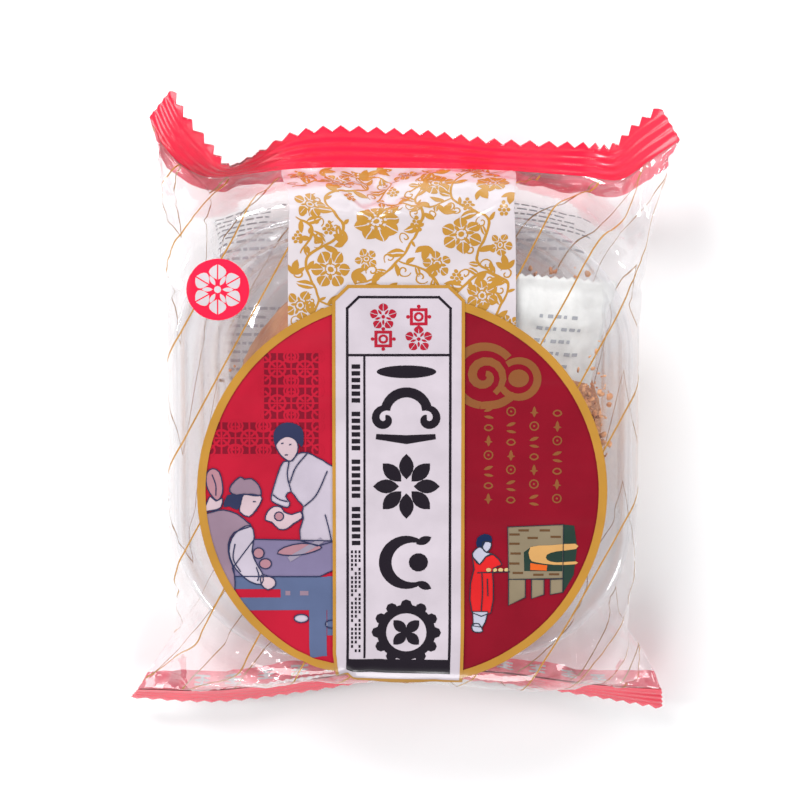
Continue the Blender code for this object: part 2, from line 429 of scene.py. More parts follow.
def end_film(end, front):
    """One side of one end of the film: rows from the tray's middle to the teeth, columns left to right."""
    f = settings().film
    across = np.linspace(-1, 1, COLUMNS + 1)
    sign = 1.0 if end == "top" else -1.0
    x, z, reach = body_section(np.abs(across) / 2 if front else 1 - np.abs(across) / 2)
    x = x * np.sign(across)
    inner, outer = crimp_edges(end, across)
    leave = np.stack([x, sign * reach, z], axis=1)
    span = np.linalg.norm(inner - leave, axis=1, keepdims=True)
    near_edge = np.abs(across) ** np.where(across < 0, *STRAIGHTENING[end])
    near_edge = near_edge[:, None]
    ways = np.array([(*DEPARTURES[end][int(place > 0)], 0) for place in across])
    ways[:, 0] *= np.sign(across)
    leaving = (ways * near_edge + np.array([0, 1, 0]) * (1 - near_edge)) * np.array([1, sign, 1]) * span
    arrival = np.array([0, *ARRIVALS[end][0 if front else 1]])
    arriving = (arrival * (1 - near_edge) + (inner - leave) / span * near_edge) * span
    t = np.linspace(0, 1, 160)[None, :, None]
    curve = hermite(t, leave[:, None], leaving[:, None], inner[:, None], arriving[:, None])
    lines = np.concatenate([np.stack([x, 0 * x, z], axis=1)[:, None], curve], axis=1)
    length_of_end = f.top_length if end == "top" else f.bottom_length
    web = np.linspace(0, length_of_end, ROWS + 1)
    past_even = np.clip((web - EVEN_PRINT) / (length_of_end - EVEN_PRINT), 0, 1)
    body = []
    for line in lines:
        spare = lengths_along(line)[-1] - EVEN_PRINT
        body.append(points_along(line, np.minimum(web, EVEN_PRINT) + past_even * spare))
    crimp = inner + (outer - inner) * np.linspace(0, 1, CRIMP_ROWS + 1)[1:, None, None]
    grid = np.concatenate([np.stack(body, axis=1), crimp], axis=0)
    taper = np.sqrt(np.clip(1 - across**4, 0, 1))[:, None]
    closeness = np.clip(np.arange(len(grid)) / ROWS, 0, 1)[:, None, None] ** 6
    lift = crimp_normal(inner, outer) * taper * (0.5 if front else -0.5) * f.seal_gap
    return grid + lift * closeness


def film_grid():
    """The film's places: rows from bottom to top teeth, columns round from the left edge over the face."""
    halves = []
    for end in ("bottom", "top"):
        front, back = end_film(end, True), end_film(end, False)
        halves.append(np.concatenate([front, back[:, -2:0:-1]], axis=1))
    return np.concatenate([halves[0][:0:-1], halves[1]], axis=0)


def tube_faces(rows, columns):
    r, c = np.meshgrid(np.arange(rows - 1), np.arange(columns), indexing="ij")
    d = (c + 1) % columns
    return np.stack([r * columns + c, r * columns + d, (r + 1) * columns + d, (r + 1) * columns + c],
                    -1).reshape(-1, 4)


def mesh_object(name, places, faces):
    data = bpy.data.meshes.new(name)
    data.from_pydata(np.asarray(places).reshape(-1, 3).tolist(), [], [list(map(int, f)) for f in faces])
    data.update()
    made = bpy.data.objects.new(name, data)
    bpy.context.scene.collection.objects.link(made)
    return made


def places_of(data):
    co = np.empty(len(data.vertices) * 3, dtype=np.float32)
    data.vertices.foreach_get("co", co)
    return co.reshape(-1, 3).astype(float)


SIM_SCALE = 10.0
SIM_FRAMES = 30
FURTHEST_MOVE = 0.0032
HIGHEST_BULGE = 0.0005


def relaxed(grid):
    """The film after a cloth simulation that lets its slack settle over the tray into soft folds.

    It runs ten times as large, because the cloth's own margins are too coarse for a small pack.
    """
    rows, columns = grid.shape[:2]
    web = mesh_object("film_cloth", grid * SIM_SCALE, tube_faces(rows, columns))
    pins = web.vertex_groups.new(name="pins")
    held = [r * columns + c for r in range(rows) for c in range(columns)
            if r <= CRIMP_ROWS or r >= rows - 1 - CRIMP_ROWS]
    pins.add(held, 1.0, "REPLACE")
    former = tray_former(SIM_SCALE)
    former.modifiers.new("Collision", "COLLISION")
    former.collision.thickness_outer = 0.004
    former.collision.cloth_friction = 3
    cloth = web.modifiers.new("Cloth", "CLOTH")
    s = cloth.settings
    s.quality = 6
    s.mass = 0.15
    s.tension_stiffness = s.compression_stiffness = 30
    s.shear_stiffness = 15
    s.bending_stiffness = 0.06
    s.tension_damping = s.compression_damping = s.shear_damping = 5
    s.bending_damping = 0.5
    s.air_damping = 3
    s.vertex_group_mass = "pins"
    s.shrink_min = -settings().film.slack
    s.effector_weights.gravity = 0
    s.use_pressure = True
    s.uniform_pressure_force = 0.15
    cloth.collision_settings.distance_min = 0.006
    cloth.point_cache.frame_start = 1
    cloth.point_cache.frame_end = SIM_FRAMES + 5
    for step in range(1, SIM_FRAMES + 1):
        bpy.context.scene.frame_set(step)
    evaluated = web.evaluated_get(bpy.context.evaluated_depsgraph_get())
    settled = places_of(evaluated.data).reshape(grid.shape) / SIM_SCALE
    for done in (web, former):
        data = done.data
        bpy.data.objects.remove(done)
        bpy.data.meshes.remove(data)
    bpy.context.scene.frame_set(1)
    moved = settled - grid
    moved[..., 2] = np.where(moved[..., 2] > 0, np.minimum(HIGHEST_BULGE, moved[..., 2] * 0.25),
                             moved[..., 2])
    far = np.linalg.norm(moved, axis=2, keepdims=True)
    return grid + moved * np.minimum(1, FURTHEST_MOVE / np.maximum(far, 1e-9))


def twice_as_fine(grid, closed):
    """The grid with a smooth place put between each two of its rows."""
    if closed:
        before, after, further = np.roll(grid, 1, 0), np.roll(grid, -1, 0), np.roll(grid, -2, 0)
        between = (-before + 9 * grid + 9 * after - further) / 16
        return np.stack([grid, between], axis=1).reshape(-1, *grid.shape[1:])
    padded = np.concatenate([2 * grid[:1] - grid[1:2], grid, 2 * grid[-1:] - grid[-2:-1]])
    between = (-padded[:-3] + 9 * padded[1:-2] + 9 * padded[2:-1] - padded[3:]) / 16
    fine = np.empty((2 * len(grid) - 1, *grid.shape[1:]))
    fine[::2], fine[1::2] = grid, between
    return fine


def grid_normals(grid):
    along = np.gradient(grid, axis=0)
    around = (np.roll(grid, -1, 1) - np.roll(grid, 1, 1)) / 2
    normal = np.cross(around, along)
    return normal / np.maximum(np.linalg.norm(normal, axis=2, keepdims=True), 1e-12)


def fold_noise(places, scale, seed):
    return np.array([noise.noise(Vector(p) * scale + Vector((seed, 0, 0))) for p in places])


def sharp_folds(grid, normals):
    """Creases that run from the crimps and the pack's corners over the loose film."""
    f = settings().film
    rows, columns = grid.shape[:2]
    r = np.abs(np.arange(rows) - (rows - 1) / 2) / ((rows - 1) / 2)
    crimp_share = CRIMP_ROWS / (CRIMP_ROWS + ROWS)
    loose = np.clip((r - 0.50) / 0.28, 0, 1) * np.clip((1 - crimp_share - r) / 0.03, 0, 1)
    around = np.arange(columns) / columns * 2 * math.pi
    edge = np.abs(np.cos(around))
    depth = loose[:, None] * (0.25 + 0.75 * edge[None] ** 2)
    turn = np.stack([np.cos(around), np.sin(around)], 1)
    out = np.zeros((rows, columns))
    lengthwise = np.arange(rows) / rows
    for pitch, share, seed in ((3.2, 1.0, 3.0), (7.0, 0.5, 11.0), (15.0, 0.22, 23.0)):
        samples = [(turn[c, 0] * pitch, turn[c, 1] * pitch, lengthwise[i] * 2.6) for i in range(rows)
                   for c in range(columns)]
        values = fold_noise(samples, 1.0, seed).reshape(rows, columns)
        out += share * (0.5 - np.abs(values) * 2.2)
    return grid + normals * (out * depth * f.fold_depth * 2.4)[..., None]


class Film:
    """The finished film's places and normals, and the way from flat print to them."""

    def __init__(self):
        f = settings().film
        grid = film_grid()
        grid = relaxed(grid)
        grid = twice_as_fine(grid, False)
        grid = twice_as_fine(grid.swapaxes(0, 1), True).swapaxes(0, 1)
        self.round = lengths_along(half_section())[-1]
        grid = sharp_folds(grid, grid_normals(grid))
        normals = grid_normals(grid)
        self.cut_teeth(grid, f)
        self.emboss_crimps(grid, normals)
        grid[..., 2] = np.maximum(grid[..., 2], FILM_CLEARANCE)
        self.grid = grid
        self.normals = normals
        self.f = f

    def cut_teeth(self, grid, f):
        columns = grid.shape[1]
        wave = 1 - np.abs((np.arange(columns) % 4) - 2) / 2
        for edge, inner in ((0, 1), (-1, -2)):
            out = grid[edge] - grid[inner]
            out = out / np.linalg.norm(out, axis=1, keepdims=True)
            grid[edge] += out * ((1 - wave) * -0.3 * f.tooth_height + wave * f.tooth_height * 0.7)[:, None]

    def emboss_crimps(self, grid, normals):
        """Fine ribs across each crimp, which front and back share."""
        columns = grid.shape[1]
        half = columns // 2
        side = np.where(np.arange(columns) <= half, 1.0, -1.0)
        for k in range(1, 2 * CRIMP_ROWS - 1):
            height = 0.00011 * math.sin(2 * math.pi * k / 4.0) * min(1.0, k / 3)
            for row in (k, grid.shape[0] - 1 - k):
                grid[row] += normals[row] * (side * height)[:, None]

    def faces(self):
        rows, columns = self.grid.shape[:2]
        faces = [tuple(f) for f in tube_faces(rows, columns)]
        last = (rows - 1) * columns
        half = columns // 2
        for c in range(half):
            mirror, beyond = (columns - c) % columns, columns - c - 1
            faces.append((c, mirror, beyond, c + 1) if mirror != c else (c, beyond, c + 1))
            faces.append((last + c, last + c + 1, last + beyond, last + mirror) if mirror != c
                         else (last + c, last + c + 1, last + beyond))
        return [tuple(dict.fromkeys(f)) for f in faces]

    def print_lines(self):
        """The places across and along the flat print, in millimetres, where the film's grid has its lines."""
        columns = np.arange(-COLUMNS, COLUMNS + 1) * self.round / MM / COLUMNS / 2
        bottom, top, crimp = (v / MM for v in (self.f.bottom_length, self.f.top_length, self.f.crimp_width))
        ribs = np.arange(1, 2 * CRIMP_ROWS) * crimp / (2 * CRIMP_ROWS)
        rows = [-bottom - ribs, np.linspace(-bottom, 0, 2 * ROWS + 1),
                np.linspace(0, top, 2 * ROWS + 1)[1:], top + ribs]
        return columns, np.concatenate(rows)

    def lay(self, flat, lift, side):
        """Puts flat print places, in millimetres, on the film's outside."""
        rows, columns = self.grid.shape[:2]
        across = np.clip(2 * flat[:, 0] * MM / self.round, -1, 1)
        quarter = columns / 4
        column = (across + 1) * quarter if side == "front" else columns / 2 + (1 - across) * quarter
        v = flat[:, 1] * MM
        end = np.where(v > 0, self.f.top_length, self.f.bottom_length)
        body = np.clip(np.abs(v), 0, end) / end * 2 * ROWS
        crimp = np.clip(np.abs(v) - end, 0, self.f.crimp_width) / self.f.crimp_width * 2 * CRIMP_ROWS
        row = (rows - 1) / 2 + np.sign(v) * (body + crimp)
        i = np.clip(np.floor(row).astype(int), 0, rows - 2)
        j = np.floor(column).astype(int)
        s, t = (row - i)[:, None], (column - j)[:, None]
        j0, j1 = j % columns, (j + 1) % columns

        def read(values):
            return (values[i, j0] * (1 - s) * (1 - t) + values[i, j1] * (1 - s) * t
                    + values[i + 1, j0] * s * (1 - t) + values[i + 1, j1] * s * t)

        places = read(self.grid) + read(self.normals) * lift * MM
        places[:, 2] = np.maximum(places[:, 2], PRINT_CLEARANCE)
        return places


# ---------------------------------------------------------------------------- flat shapes for print


def arc(x, y, radius, start=0, end=360, count=24, squash=1.0):
    turns = np.radians(np.linspace(start, end, count))
    return [(x + radius * math.cos(a), y + radius * squash * math.sin(a)) for a in turns]


def disc(x, y, radius, count=20, squash=1.0):
    return [arc(x, y, radius, 0, 360 - 360 / count, count, squash)]


def bar(x0, y0, x1, y1):
    return [[(x0, y0), (x1, y0), (x1, y1), (x0, y1)]]


def ribbon(points, width, taper=0.0, closed=False):
    """A stroke along the points, as a row of four-sided pieces; a taper narrows both ends."""
    p = np.array(points, float)
    if closed:
        p = np.concatenate([p, p[:1]])
        way = np.roll(p[:-1], -1, 0) - np.roll(p[:-1], 1, 0)
        way = np.concatenate([way, way[:1]])
    else:
        way = np.gradient(p, axis=0)
    way = way / np.maximum(np.linalg.norm(way, axis=1, keepdims=True), 1e-9)
    side = np.stack([-way[:, 1], way[:, 0]], 1)
    t = np.linspace(0, 1, len(p))
    half = width / 2 * (1 - taper * np.abs(2 * t - 1) ** 2)[:, None]
    left, right = p + side * half, p - side * half
    return [[tuple(right[k]), tuple(right[k + 1]), tuple(left[k + 1]), tuple(left[k])]
            for k in range(len(p) - 1)]


def ring(x, y, radius, width, count=48, squash=1.0):
    return ribbon(arc(x, y, radius, 0, 360 - 360 / count, count, squash), width, closed=True)


def curve(points, count=16):
    """A smooth line through a few points."""
    p = np.array(points, float)
    return smooth_through(np.arange(len(p)), p, np.linspace(0, len(p) - 1, count))


def turned(shapes, x, y, degrees, scale=1.0):
    """The shapes turned, scaled and moved to x, y."""
    c, s = math.cos(math.radians(degrees)) * scale, math.sin(math.radians(degrees)) * scale
    return [[(x + a * c - b * s, y + a * s + b * c) for a, b in shape] for shape in shapes]


def leaf(x, y, size, degrees, width=0.42):
    t = np.linspace(0, 1, 7)
    upper = [(size * k, size * width / 2 * math.sin(math.pi * k) ** 0.8) for k in t]
    lower = [(size * k, -size * width / 2 * math.sin(math.pi * k) ** 0.8) for k in t[-2:0:-1]]
    return turned([upper + lower], x, y, degrees)


def split_leaf(x, y, size, degrees, width=0.5):
    """A leaf with a bare vein: two slim halves."""
    shapes = []
    for side in (1, -1):
        t = np.linspace(0, 1, 7)
        outer = [(size * k, side * size * (0.05 + width / 2 * math.sin(math.pi * k) ** 0.8)) for k in t]
        inner = [(size * k, side * size * 0.045) for k in t[::-1]]
        shapes.append((outer + inner) if side < 0 else (outer + inner)[::-1])
    return turned(shapes, x, y, degrees)


def blossom(x, y, radius, petals=6, degrees=0.0):
    """Two rings of petals round a small eye."""
    shapes = []
    for k in range(petals):
        a = degrees + 360 / petals * k
        r = math.radians(a)
        shapes += split_leaf(x + 0.42 * radius * math.cos(r), y + 0.42 * radius * math.sin(r),
                             0.62 * radius, a, 1.05)
        r2 = math.radians(a + 180 / petals)
        shapes += leaf(x + 0.2 * radius * math.cos(r2), y + 0.2 * radius * math.sin(r2), 0.45 * radius, a
                       + 180 / petals, 0.4)
    return shapes + disc(x, y, 0.15 * radius, 8)


def spiral(x, y, radius, degrees, turns=1.2, width=0.3, way=1):
    t = np.linspace(0, 1, 20)
    points = [(x + radius * (1 - 0.85 * k) * math.cos(math.radians(degrees)
            + way * 2 * math.pi * turns * k),
               y + radius * (1 - 0.85 * k) * math.sin(math.radians(degrees)
               + way * 2 * math.pi * turns * k)) for k in t]
    return ribbon(points, width, 0.4)


def berries(x, y, size):
    places = [(0, 0), (1, 0.1), (-1, 0.1), (0.5, 0.9), (-0.5, 0.9), (0.5, -0.8), (-0.5, -0.8), (0, 1.75)]
    return [shape for a, b in places for shape in disc(x + a * size, y + b * size, size * 0.46, 8)]


def wobbled(shapes, amount, seed):
    return [[(x + amount * noise.noise((x * 0.6, y * 0.6, seed)), y
              + amount * noise.noise((x * 0.6, y * 0.6, seed + 9)))
             for x, y in shape] for shape in shapes]


def frame_of(x0, y0, x1, y1, width, chamfer=0.0, top_only=True):
    low = 0 if top_only else chamfer
    corners = [(x0 + low, y0), (x1 - low, y0), (x1, y0 + low), (x1, y1 - chamfer), (x1 - chamfer, y1),
               (x0 + chamfer, y1), (x0, y1 - chamfer), (x0, y0 + low)]
    points = [p for k, p in enumerate(corners) if k == 0 or math.dist(p, corners[k - 1]) > 1e-6]
    if math.dist(points[0], points[-1]) < 1e-6:
        points.pop()
    shapes = []
    for a, b in zip(points, points[1:] + points[:1]):
        way = np.array(b) - np.array(a)
        way = way / np.linalg.norm(way) * width / 2
        start, end = np.array(a) - way * 0.8, np.array(b) + way * 0.8
        shapes += ribbon([tuple(start), tuple(end)], width)
    return shapes


def chamfered(x0, y0, x1, y1, chamfer):
    return [[(x0, y0), (x1, y0), (x1, y1 - chamfer), (x1 - chamfer, y1), (x0 + chamfer, y1),
             (x0, y1 - chamfer)]]


# --------------------------------------------------------------------------------- making of pieces


def deselect():
    if bpy.context.object and bpy.context.object.mode != "OBJECT":
        bpy.ops.object.mode_set(mode="OBJECT")
    bpy.ops.object.select_all(action="DESELECT")


def finish_piece(piece, material, smooth_angle=None):
    """Gives the piece its material and body, and leaves its object at the origin."""
    deselect()
    piece.select_set(True)
    bpy.context.view_layer.objects.active = piece
    bpy.ops.object.transform_apply(location=True, rotation=True, scale=True)
    if smooth_angle is None:
        bpy.ops.object.shade_smooth()
    else:
        bpy.ops.object.shade_smooth_by_angle(angle=smooth_angle)
    piece.data.materials.clear()
    piece.data.materials.append(material)
    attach(piece, "root")
    piece.select_set(False)
    return piece


def facing_out(piece):
    """Turns the normals of a closed shape outward."""
    deselect()
    piece.select_set(True)
    bpy.context.view_layer.objects.active = piece
    bpy.ops.object.mode_set(mode="EDIT")
    bpy.ops.mesh.select_all(action="SELECT")
    bpy.ops.mesh.normals_make_consistent(inside=False)
    bpy.ops.object.mode_set(mode="OBJECT")
    piece.select_set(False)


def rounded_frame(half_x, half_y, corner, z, count):
    places = []
    for k in range(count):
        a = 2 * math.pi * (k + 0.5) / count
        cx = math.copysign(half_x - corner, math.cos(a))
        cy = math.copysign(half_y - corner, math.sin(a))
        places.append(Vector((cx + corner * math.cos(a), cy + corner * math.sin(a), z)))
    return places


def lofted(name, levels, count=96):
    """A skin extruded from one rounded frame to the next, with the first one filled."""
    deselect()
    bpy.ops.mesh.primitive_circle_add(vertices=count, radius=1.0, fill_type="NOTHING")
    made = bpy.context.object
    made.name = made.data.name = name
    for vertex, place in zip(made.data.vertices, rounded_frame(*levels[0], count)):
        vertex.co = place
    bpy.ops.object.mode_set(mode="EDIT")
    bpy.ops.mesh.select_all(action="SELECT")
    for before, level in zip(levels, levels[1:]):
        number = {tuple(round(c, 7) for c in p): k for k, p in enumerate(rounded_frame(*before, count))}
        bpy.ops.mesh.extrude_region_move()
        mesh = bmesh.from_edit_mesh(made.data)
        for vertex in (v for v in mesh.verts if v.select):
            k = number[tuple(round(c, 7) for c in vertex.co)] if tuple(round(c, 7)
                    for c in vertex.co) in number \
                else min(range(count), key=lambda q: (rounded_frame(*before, count)[q] - vertex.co).length)
            vertex.co = rounded_frame(*level, count)[k]
        bmesh.update_edit_mesh(made.data)
    mesh = bmesh.from_edit_mesh(made.data)
    for edge in mesh.edges:
        edge.select_set(False)
    bpy.ops.mesh.select_mode(type="EDGE")
    for edge in mesh.edges:
        edge.select_set(edge.is_boundary and abs(edge.verts[0].co.z - levels[0][3]) < 1e-6
                        and abs(edge.verts[1].co.z - levels[0][3]) < 1e-6)
    bmesh.update_edit_mesh(made.data)
    bpy.ops.mesh.edge_face_add()
    bpy.ops.object.mode_set(mode="OBJECT")
    made.select_set(False)
    return made


def tray_former(scale):
    """The solid shape that the film settles on: the tray's outside, filled over its rim."""
    t = settings().tray
    hx, hy = t.rim_width / 2, t.rim_length / 2
    bx, by = t.base_width / 2, t.base_length / 2
    levels = [(bx - 0.0015, by - 0.0015, 0.016, 0.0006), (bx, by, 0.018, 0.004),
              (hx - 0.002, hy - 0.002, 0.022, 0.020),
              (hx, hy, 0.024, 0.0235), (hx, hy, 0.024, t.height),
              (hx - 0.001, hy - 0.001, 0.023, t.height + 0.0005)]
    count = 64
    rings = [[Vector(p) * scale for p in rounded_frame(*level, count)] for level in levels]
    mesh = bmesh.new()
    loops = [[mesh.verts.new(p) for p in one] for one in rings]
    for low, high in zip(loops, loops[1:]):
        for k in range(count):
            j = (k + 1) % count
            mesh.faces.new((low[k], low[j], high[j], high[k]))
    mesh.faces.new(loops[0][::-1])
    mesh.faces.new(loops[-1])
    bmesh.ops.triangulate(mesh, faces=mesh.faces)
    data = bpy.data.meshes.new("tray_former")
    mesh.to_mesh(data)
    mesh.free()
    former = bpy.data.objects.new("tray_former", data)
    bpy.context.scene.collection.objects.link(former)
    return former


def inside(shape, points):
    """Which of the points lie inside the closed shape."""
    found = np.zeros(len(points), bool)
    for (x0, y0), (x1, y1) in zip(shape, shape[1:] + shape[:1]):
        if y0 == y1:
            continue
        spans = (points[:, 1] < y0) != (points[:, 1] < y1)
        found ^= spans & (points[:, 0] < x0 + (points[:, 1] - y0) * (x1 - x0) / (y1 - y0))
    return found


def merged(shapes, cuts, within=None):
    """One flat triangle mesh of all the shapes together, also cut along the film's grid.

    What lies outside the closed shape within, if it is given, is left out.
    """
    places, edges = [], []
    for shape in shapes + ([within] if within else []):
        start, count = len(places), len(shape)
        places += shape
        edges += [(start + k, start + (k + 1) % count) for k in range(count)]
    low, high = np.min(places, axis=0) - 0.01, np.max(places, axis=0) + 0.01
    for axis, lines in enumerate(cuts):
        for line in lines[(lines > low[axis]) & (lines < high[axis])]:
            start = len(places)
            places += [(line, low[1]), (line, high[1])] if axis == 0 else [(low[0], line), (high[0], line)]
            edges.append((start, start + 1))
    cut = geometry.delaunay_2d_cdt([Vector(place) for place in places], edges, [], 0, 1e-4)
    points = np.array([point[:] for point in cut[0]])
    triangles = np.array(cut[2])
    middles = points[triangles].mean(1)
    covered = np.zeros(len(triangles), bool)
    order = np.argsort(middles[:, 0])
    for shape in shapes:
        xs, ys = zip(*shape)
        first, last = np.searchsorted(middles[order, 0], (min(xs), max(xs)))
        near = order[first:last]
        near = near[(middles[near, 1] > min(ys)) & (middles[near, 1] < max(ys)) & ~covered[near]]
        covered[near] = inside(shape, middles[near])
    if within:
        covered &= inside(within, middles)
    return points, triangles[covered].tolist()


def print_piece(film, name, shapes, lift, material, side="front", within=None):
    """Draws flat shapes, cut where the film's own grid bends, and lays them on the film."""
    points, triangles = merged(shapes, film.print_lines(), within)
    mesh = bmesh.new()
    vertices = {k: mesh.verts.new((*points[k], 0)) for k in sorted({k for triangle in triangles
            for k in triangle})}
    for triangle in triangles:
        mesh.faces.new([vertices[k] for k in triangle])
    flat = np.array([v.co[:2] for v in mesh.verts])
    for vertex, place in zip(mesh.verts, film.lay(flat, lift, side)):
        vertex.co = place
    if side == "back":
        bmesh.ops.reverse_faces(mesh, faces=mesh.faces)
    data = bpy.data.meshes.new(name)
    mesh.to_mesh(data)
    mesh.free()
    piece = bpy.data.objects.new(name, data)
    bpy.context.scene.collection.objects.link(piece)
    return finish_piece(piece, material)


# Where the lowest print layer lies, in millimetres off the film, and how far apart the layers are
LOWEST_LAYER = 0.02
LAYER_SCALE = 0.5

FORM = {}


def formed_film():
    """The film's form, worked out once and used by the film and by its print."""
    if "film" not in FORM:
        FORM["film"] = Film()
    return FORM["film"]


# ------------------------------------------------------------------------------------- operators


class MOONCAKE_OT_film(bpy.types.Operator):
    """Adds the clear film wrap with its crimped ends and the seam down its back"""

    bl_idname = "mooncake.film"
    bl_label = "Film Wrap"

    def execute(self, context):
        film = formed_film()
        clear = clear_material("clear_film", (0.990, 0.988, 0.992), 0.045, 0.075, 0.03, 260.0, 0.00012)
        wrap = mesh_object("film_wrap", film.grid, film.faces())
        finish_piece(wrap, clear)
        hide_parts(PACK)
        seam = self.seam(film)
        finish_piece(seam, clear)
        return {"FINISHED"}

    def seam(self, film):
        """A narrow ribbed strip that lies flat along the middle of the back."""
        x = np.linspace(0, 9, 8)
        y = np.linspace(1 - film.f.bottom_length / MM, film.f.top_length / MM - 1, 109)
        flat = np.array([(a, b) for b in y for a in x])
        rib = 0.03 * np.sin(flat[:, 0] / 9 * 2 * math.pi * 3)
        near = film.lay(flat, 0.05, "back")
        far = film.lay(flat, (0.14 + rib)[:, None], "back")
        rows, columns = len(y), len(x)
        faces = []
        total = rows * columns
        for r in range(rows - 1):
            for c in range(columns - 1):
                a, b, d, e = r * columns + c, r * columns + c + 1, (r + 1) * columns + c + 1, (r
                        + 1) * columns + c
                faces += [(a, b, d, e), (total + e, total + d, total + b, total + a)]
        edge = [(0, c, 0, c + 1) for c in range(columns - 1)] + [(r, columns - 1, r + 1, columns - 1)
                for r in range(rows - 1)]
        edge += [(rows - 1, c + 1, rows - 1, c) for c in range(columns - 1)[::-1]] + [(r + 1, 0, r, 0)
                for r in range(rows - 1)[::-1]]
        for r0, c0, r1, c1 in edge:
            a, b = r0 * columns + c0, r1 * columns + c1
            faces.append((b, a, total + a, total + b))
        made = mesh_object("back_seam", np.concatenate([near, far]), faces)
        facing_out(made)
        return made


def hairlines():
    """Slanting gold lines at an even spacing, clear across the film."""
    rise = math.tan(math.radians(62))
    lines = []
    for k in range(-11, 12):
        x = k * 10.0 + 3.5
        low, high = -64.0, 56.0
        points = [(x + y / rise, y) for y in (low, high)]
        lines += ribbon(points, 0.26)
    return lines


def flower_field():
    """Vines, leaves, blossoms and berries that fill the pale panel."""
    shapes = []
    vines = [
        [(-18, 18), (-14, 24), (-16, 31), (-10, 36), (-13, 43), (-6, 48), (-8, 54)],
        [(-8, 54), (-2, 50), (-4, 44), (3, 41), (1, 34), (-3, 29), (-8, 27)],
        [(18, 15), (15, 21), (17, 27), (12, 31), (14, 38), (8, 43), (10, 50), (16, 54)],
        [(-1, 31), (4, 29), (8, 24), (13, 22)],
        [(-18, 45), (-14, 49), (-17, 54)],
        [(3, 54), (5, 49), (1, 46)],
        [(-18, 38), (-15, 36), (-17, 32)],
        [(-14, 24), (-9, 23), (-6, 27), (-2, 26)],
        [(8, 43), (4, 41), (2, 44), (5, 49)],
        [(17, 27), (13, 29), (9, 26), (6, 22)],
    ]
    for number, vine in enumerate(vines):
        line = curve(vine, 12 * len(vine))
        shapes += ribbon(line, 0.45, 0.5)
        way = np.gradient(line, axis=0)
        for k in range(4, len(line) - 3, 5):
            x, y = line[k]
            heading = math.degrees(math.atan2(way[k, 1], way[k, 0]))
            turn = 52 if (k // 5 + number) % 2 else -52
            size = 2.3 + 0.8 * math.sin(k * 1.7 + number)
            shapes += split_leaf(x, y, size, heading + turn, 0.42) if k % 2 else leaf(x, y, size * 0.9,
                    heading + turn, 0.4)
            if k % 10 == 4:
                shapes += spiral(x - 1.3 * math.sin(math.radians(heading)) * (1 if turn < 0 else -1),
                                 y + 1.3 * math.cos(math.radians(heading)) * (1 if turn < 0 else -1),
                                 1.1, heading, 1.1, 0.26, 1 if turn < 0 else -1)
    blossoms = [(-12.0, 29.5, 3.7, 6), (-4.5, 38.0, 4.4, 8), (9.5, 35.5, 3.9, 6), (-10.5, 49.5, 3.2, 5),
                (5.5, 46.8, 3.4, 6),
                (-15.6, 40.6, 3.0, 5), (14.6, 46.2, 3.2, 7), (0.6, 51.6, 2.5, 5), (-17.0, 23.4, 3.0, 5),
                (12.8, 25.2, 3.2, 6),
                (5.4, 30.4, 2.7, 5), (-6.2, 31.2, 2.2, 5), (15.8, 33.6, 2.3, 5), (-16.2, 51.6, 2.3, 5),
                (11.2, 53.0, 2.2, 5),
                (17.2, 20.0, 2.3, 5), (-14.2, 17.0, 2.4, 5)]
    for k, (x, y, reach, petals) in enumerate(blossoms):
        radius = 0.84 * reach
        shapes += ring(x, y, radius * 0.30, 0.22, 16)
        shapes += blossom(x, y, radius, petals, 17.0 * k)
    for x, y, size in ((2.2, 37.6, 0.85), (-8.8, 43.8, 0.8), (10.6, 41.2, 0.8), (8.6, 28.0, 0.75),
                       (-12.4, 36.2, 0.7),
                       (16.6, 39.6, 0.75), (-1.6, 46.4, 0.75), (-17.4, 34.4, 0.7), (12.0, 49.2, 0.7),
                       (4.6, 25.6, 0.7)):
        shapes += berries(x, y, size)
    for x, y, a in ((-6.5, 51.8, 70), (-1.0, 41.8, 200), (6.8, 50.8, 120), (-12.6, 45.6, 15),
                    (3.6, 33.6, 260), (12.6, 44.4, 300),
                    (16.8, 29.4, 100), (-9.4, 34.0, 150), (-13.0, 53.6, 340), (6.6, 39.6, 60),
                    (-18.0, 28.6, 80), (9.6, 21.2, 30),
                    (15.6, 51.0, 200), (-8.4, 29.0, 330), (-4.0, 53.4, 20), (18.0, 43.0, 260),
                    (-14.6, 20.6, 60)):
        shapes += leaf(x, y, 2.6, a, 0.5) + leaf(x, y, 2.2, a + 48, 0.42) + leaf(x, y, 2.2, a - 48, 0.42)
    return shapes


LATTICE_CELLS = [(-23.1 + 4.6 * i, 9.8 - 5.8 * j) for i in range(2) for j in range(2)]
LATTICE_CELLS += [(-32.3 + 4.6 * i, -1.9) for i in range(4)]


def lattice():
    """The dark panes of the lattice."""
    return [pane for x, y in LATTICE_CELLS for pane in bar(x + 0.15, y + 0.15, x + 4.45, y + 5.45)]


def lattice_bars():
    """The bright fretwork over each pane: a coin with four petals and a cross."""
    shapes = []
    for x, y in LATTICE_CELLS:
        cx, cy = x + 2.3, y + 2.8
        shapes += ring(cx, cy, 1.35, 0.42, 16)
        for k in range(4):
            a = math.radians(45 + 90 * k)
            shapes += ribbon([(cx + 0.4 * math.cos(a), cy + 0.4 * math.sin(a)),
                              (cx + 2.9 * math.cos(a), cy + 2.9 * math.sin(a))], 0.36)
            shapes += ring(cx + 2.9 * math.cos(a), cy + 2.9 * math.sin(a), 0.95, 0.34, 12)
        shapes += bar(cx - 0.15, y + 0.15, cx + 0.15, y + 5.45) + bar(x + 0.15, cy - 0.15, x + 4.45, cy
                + 0.15)
    return shapes


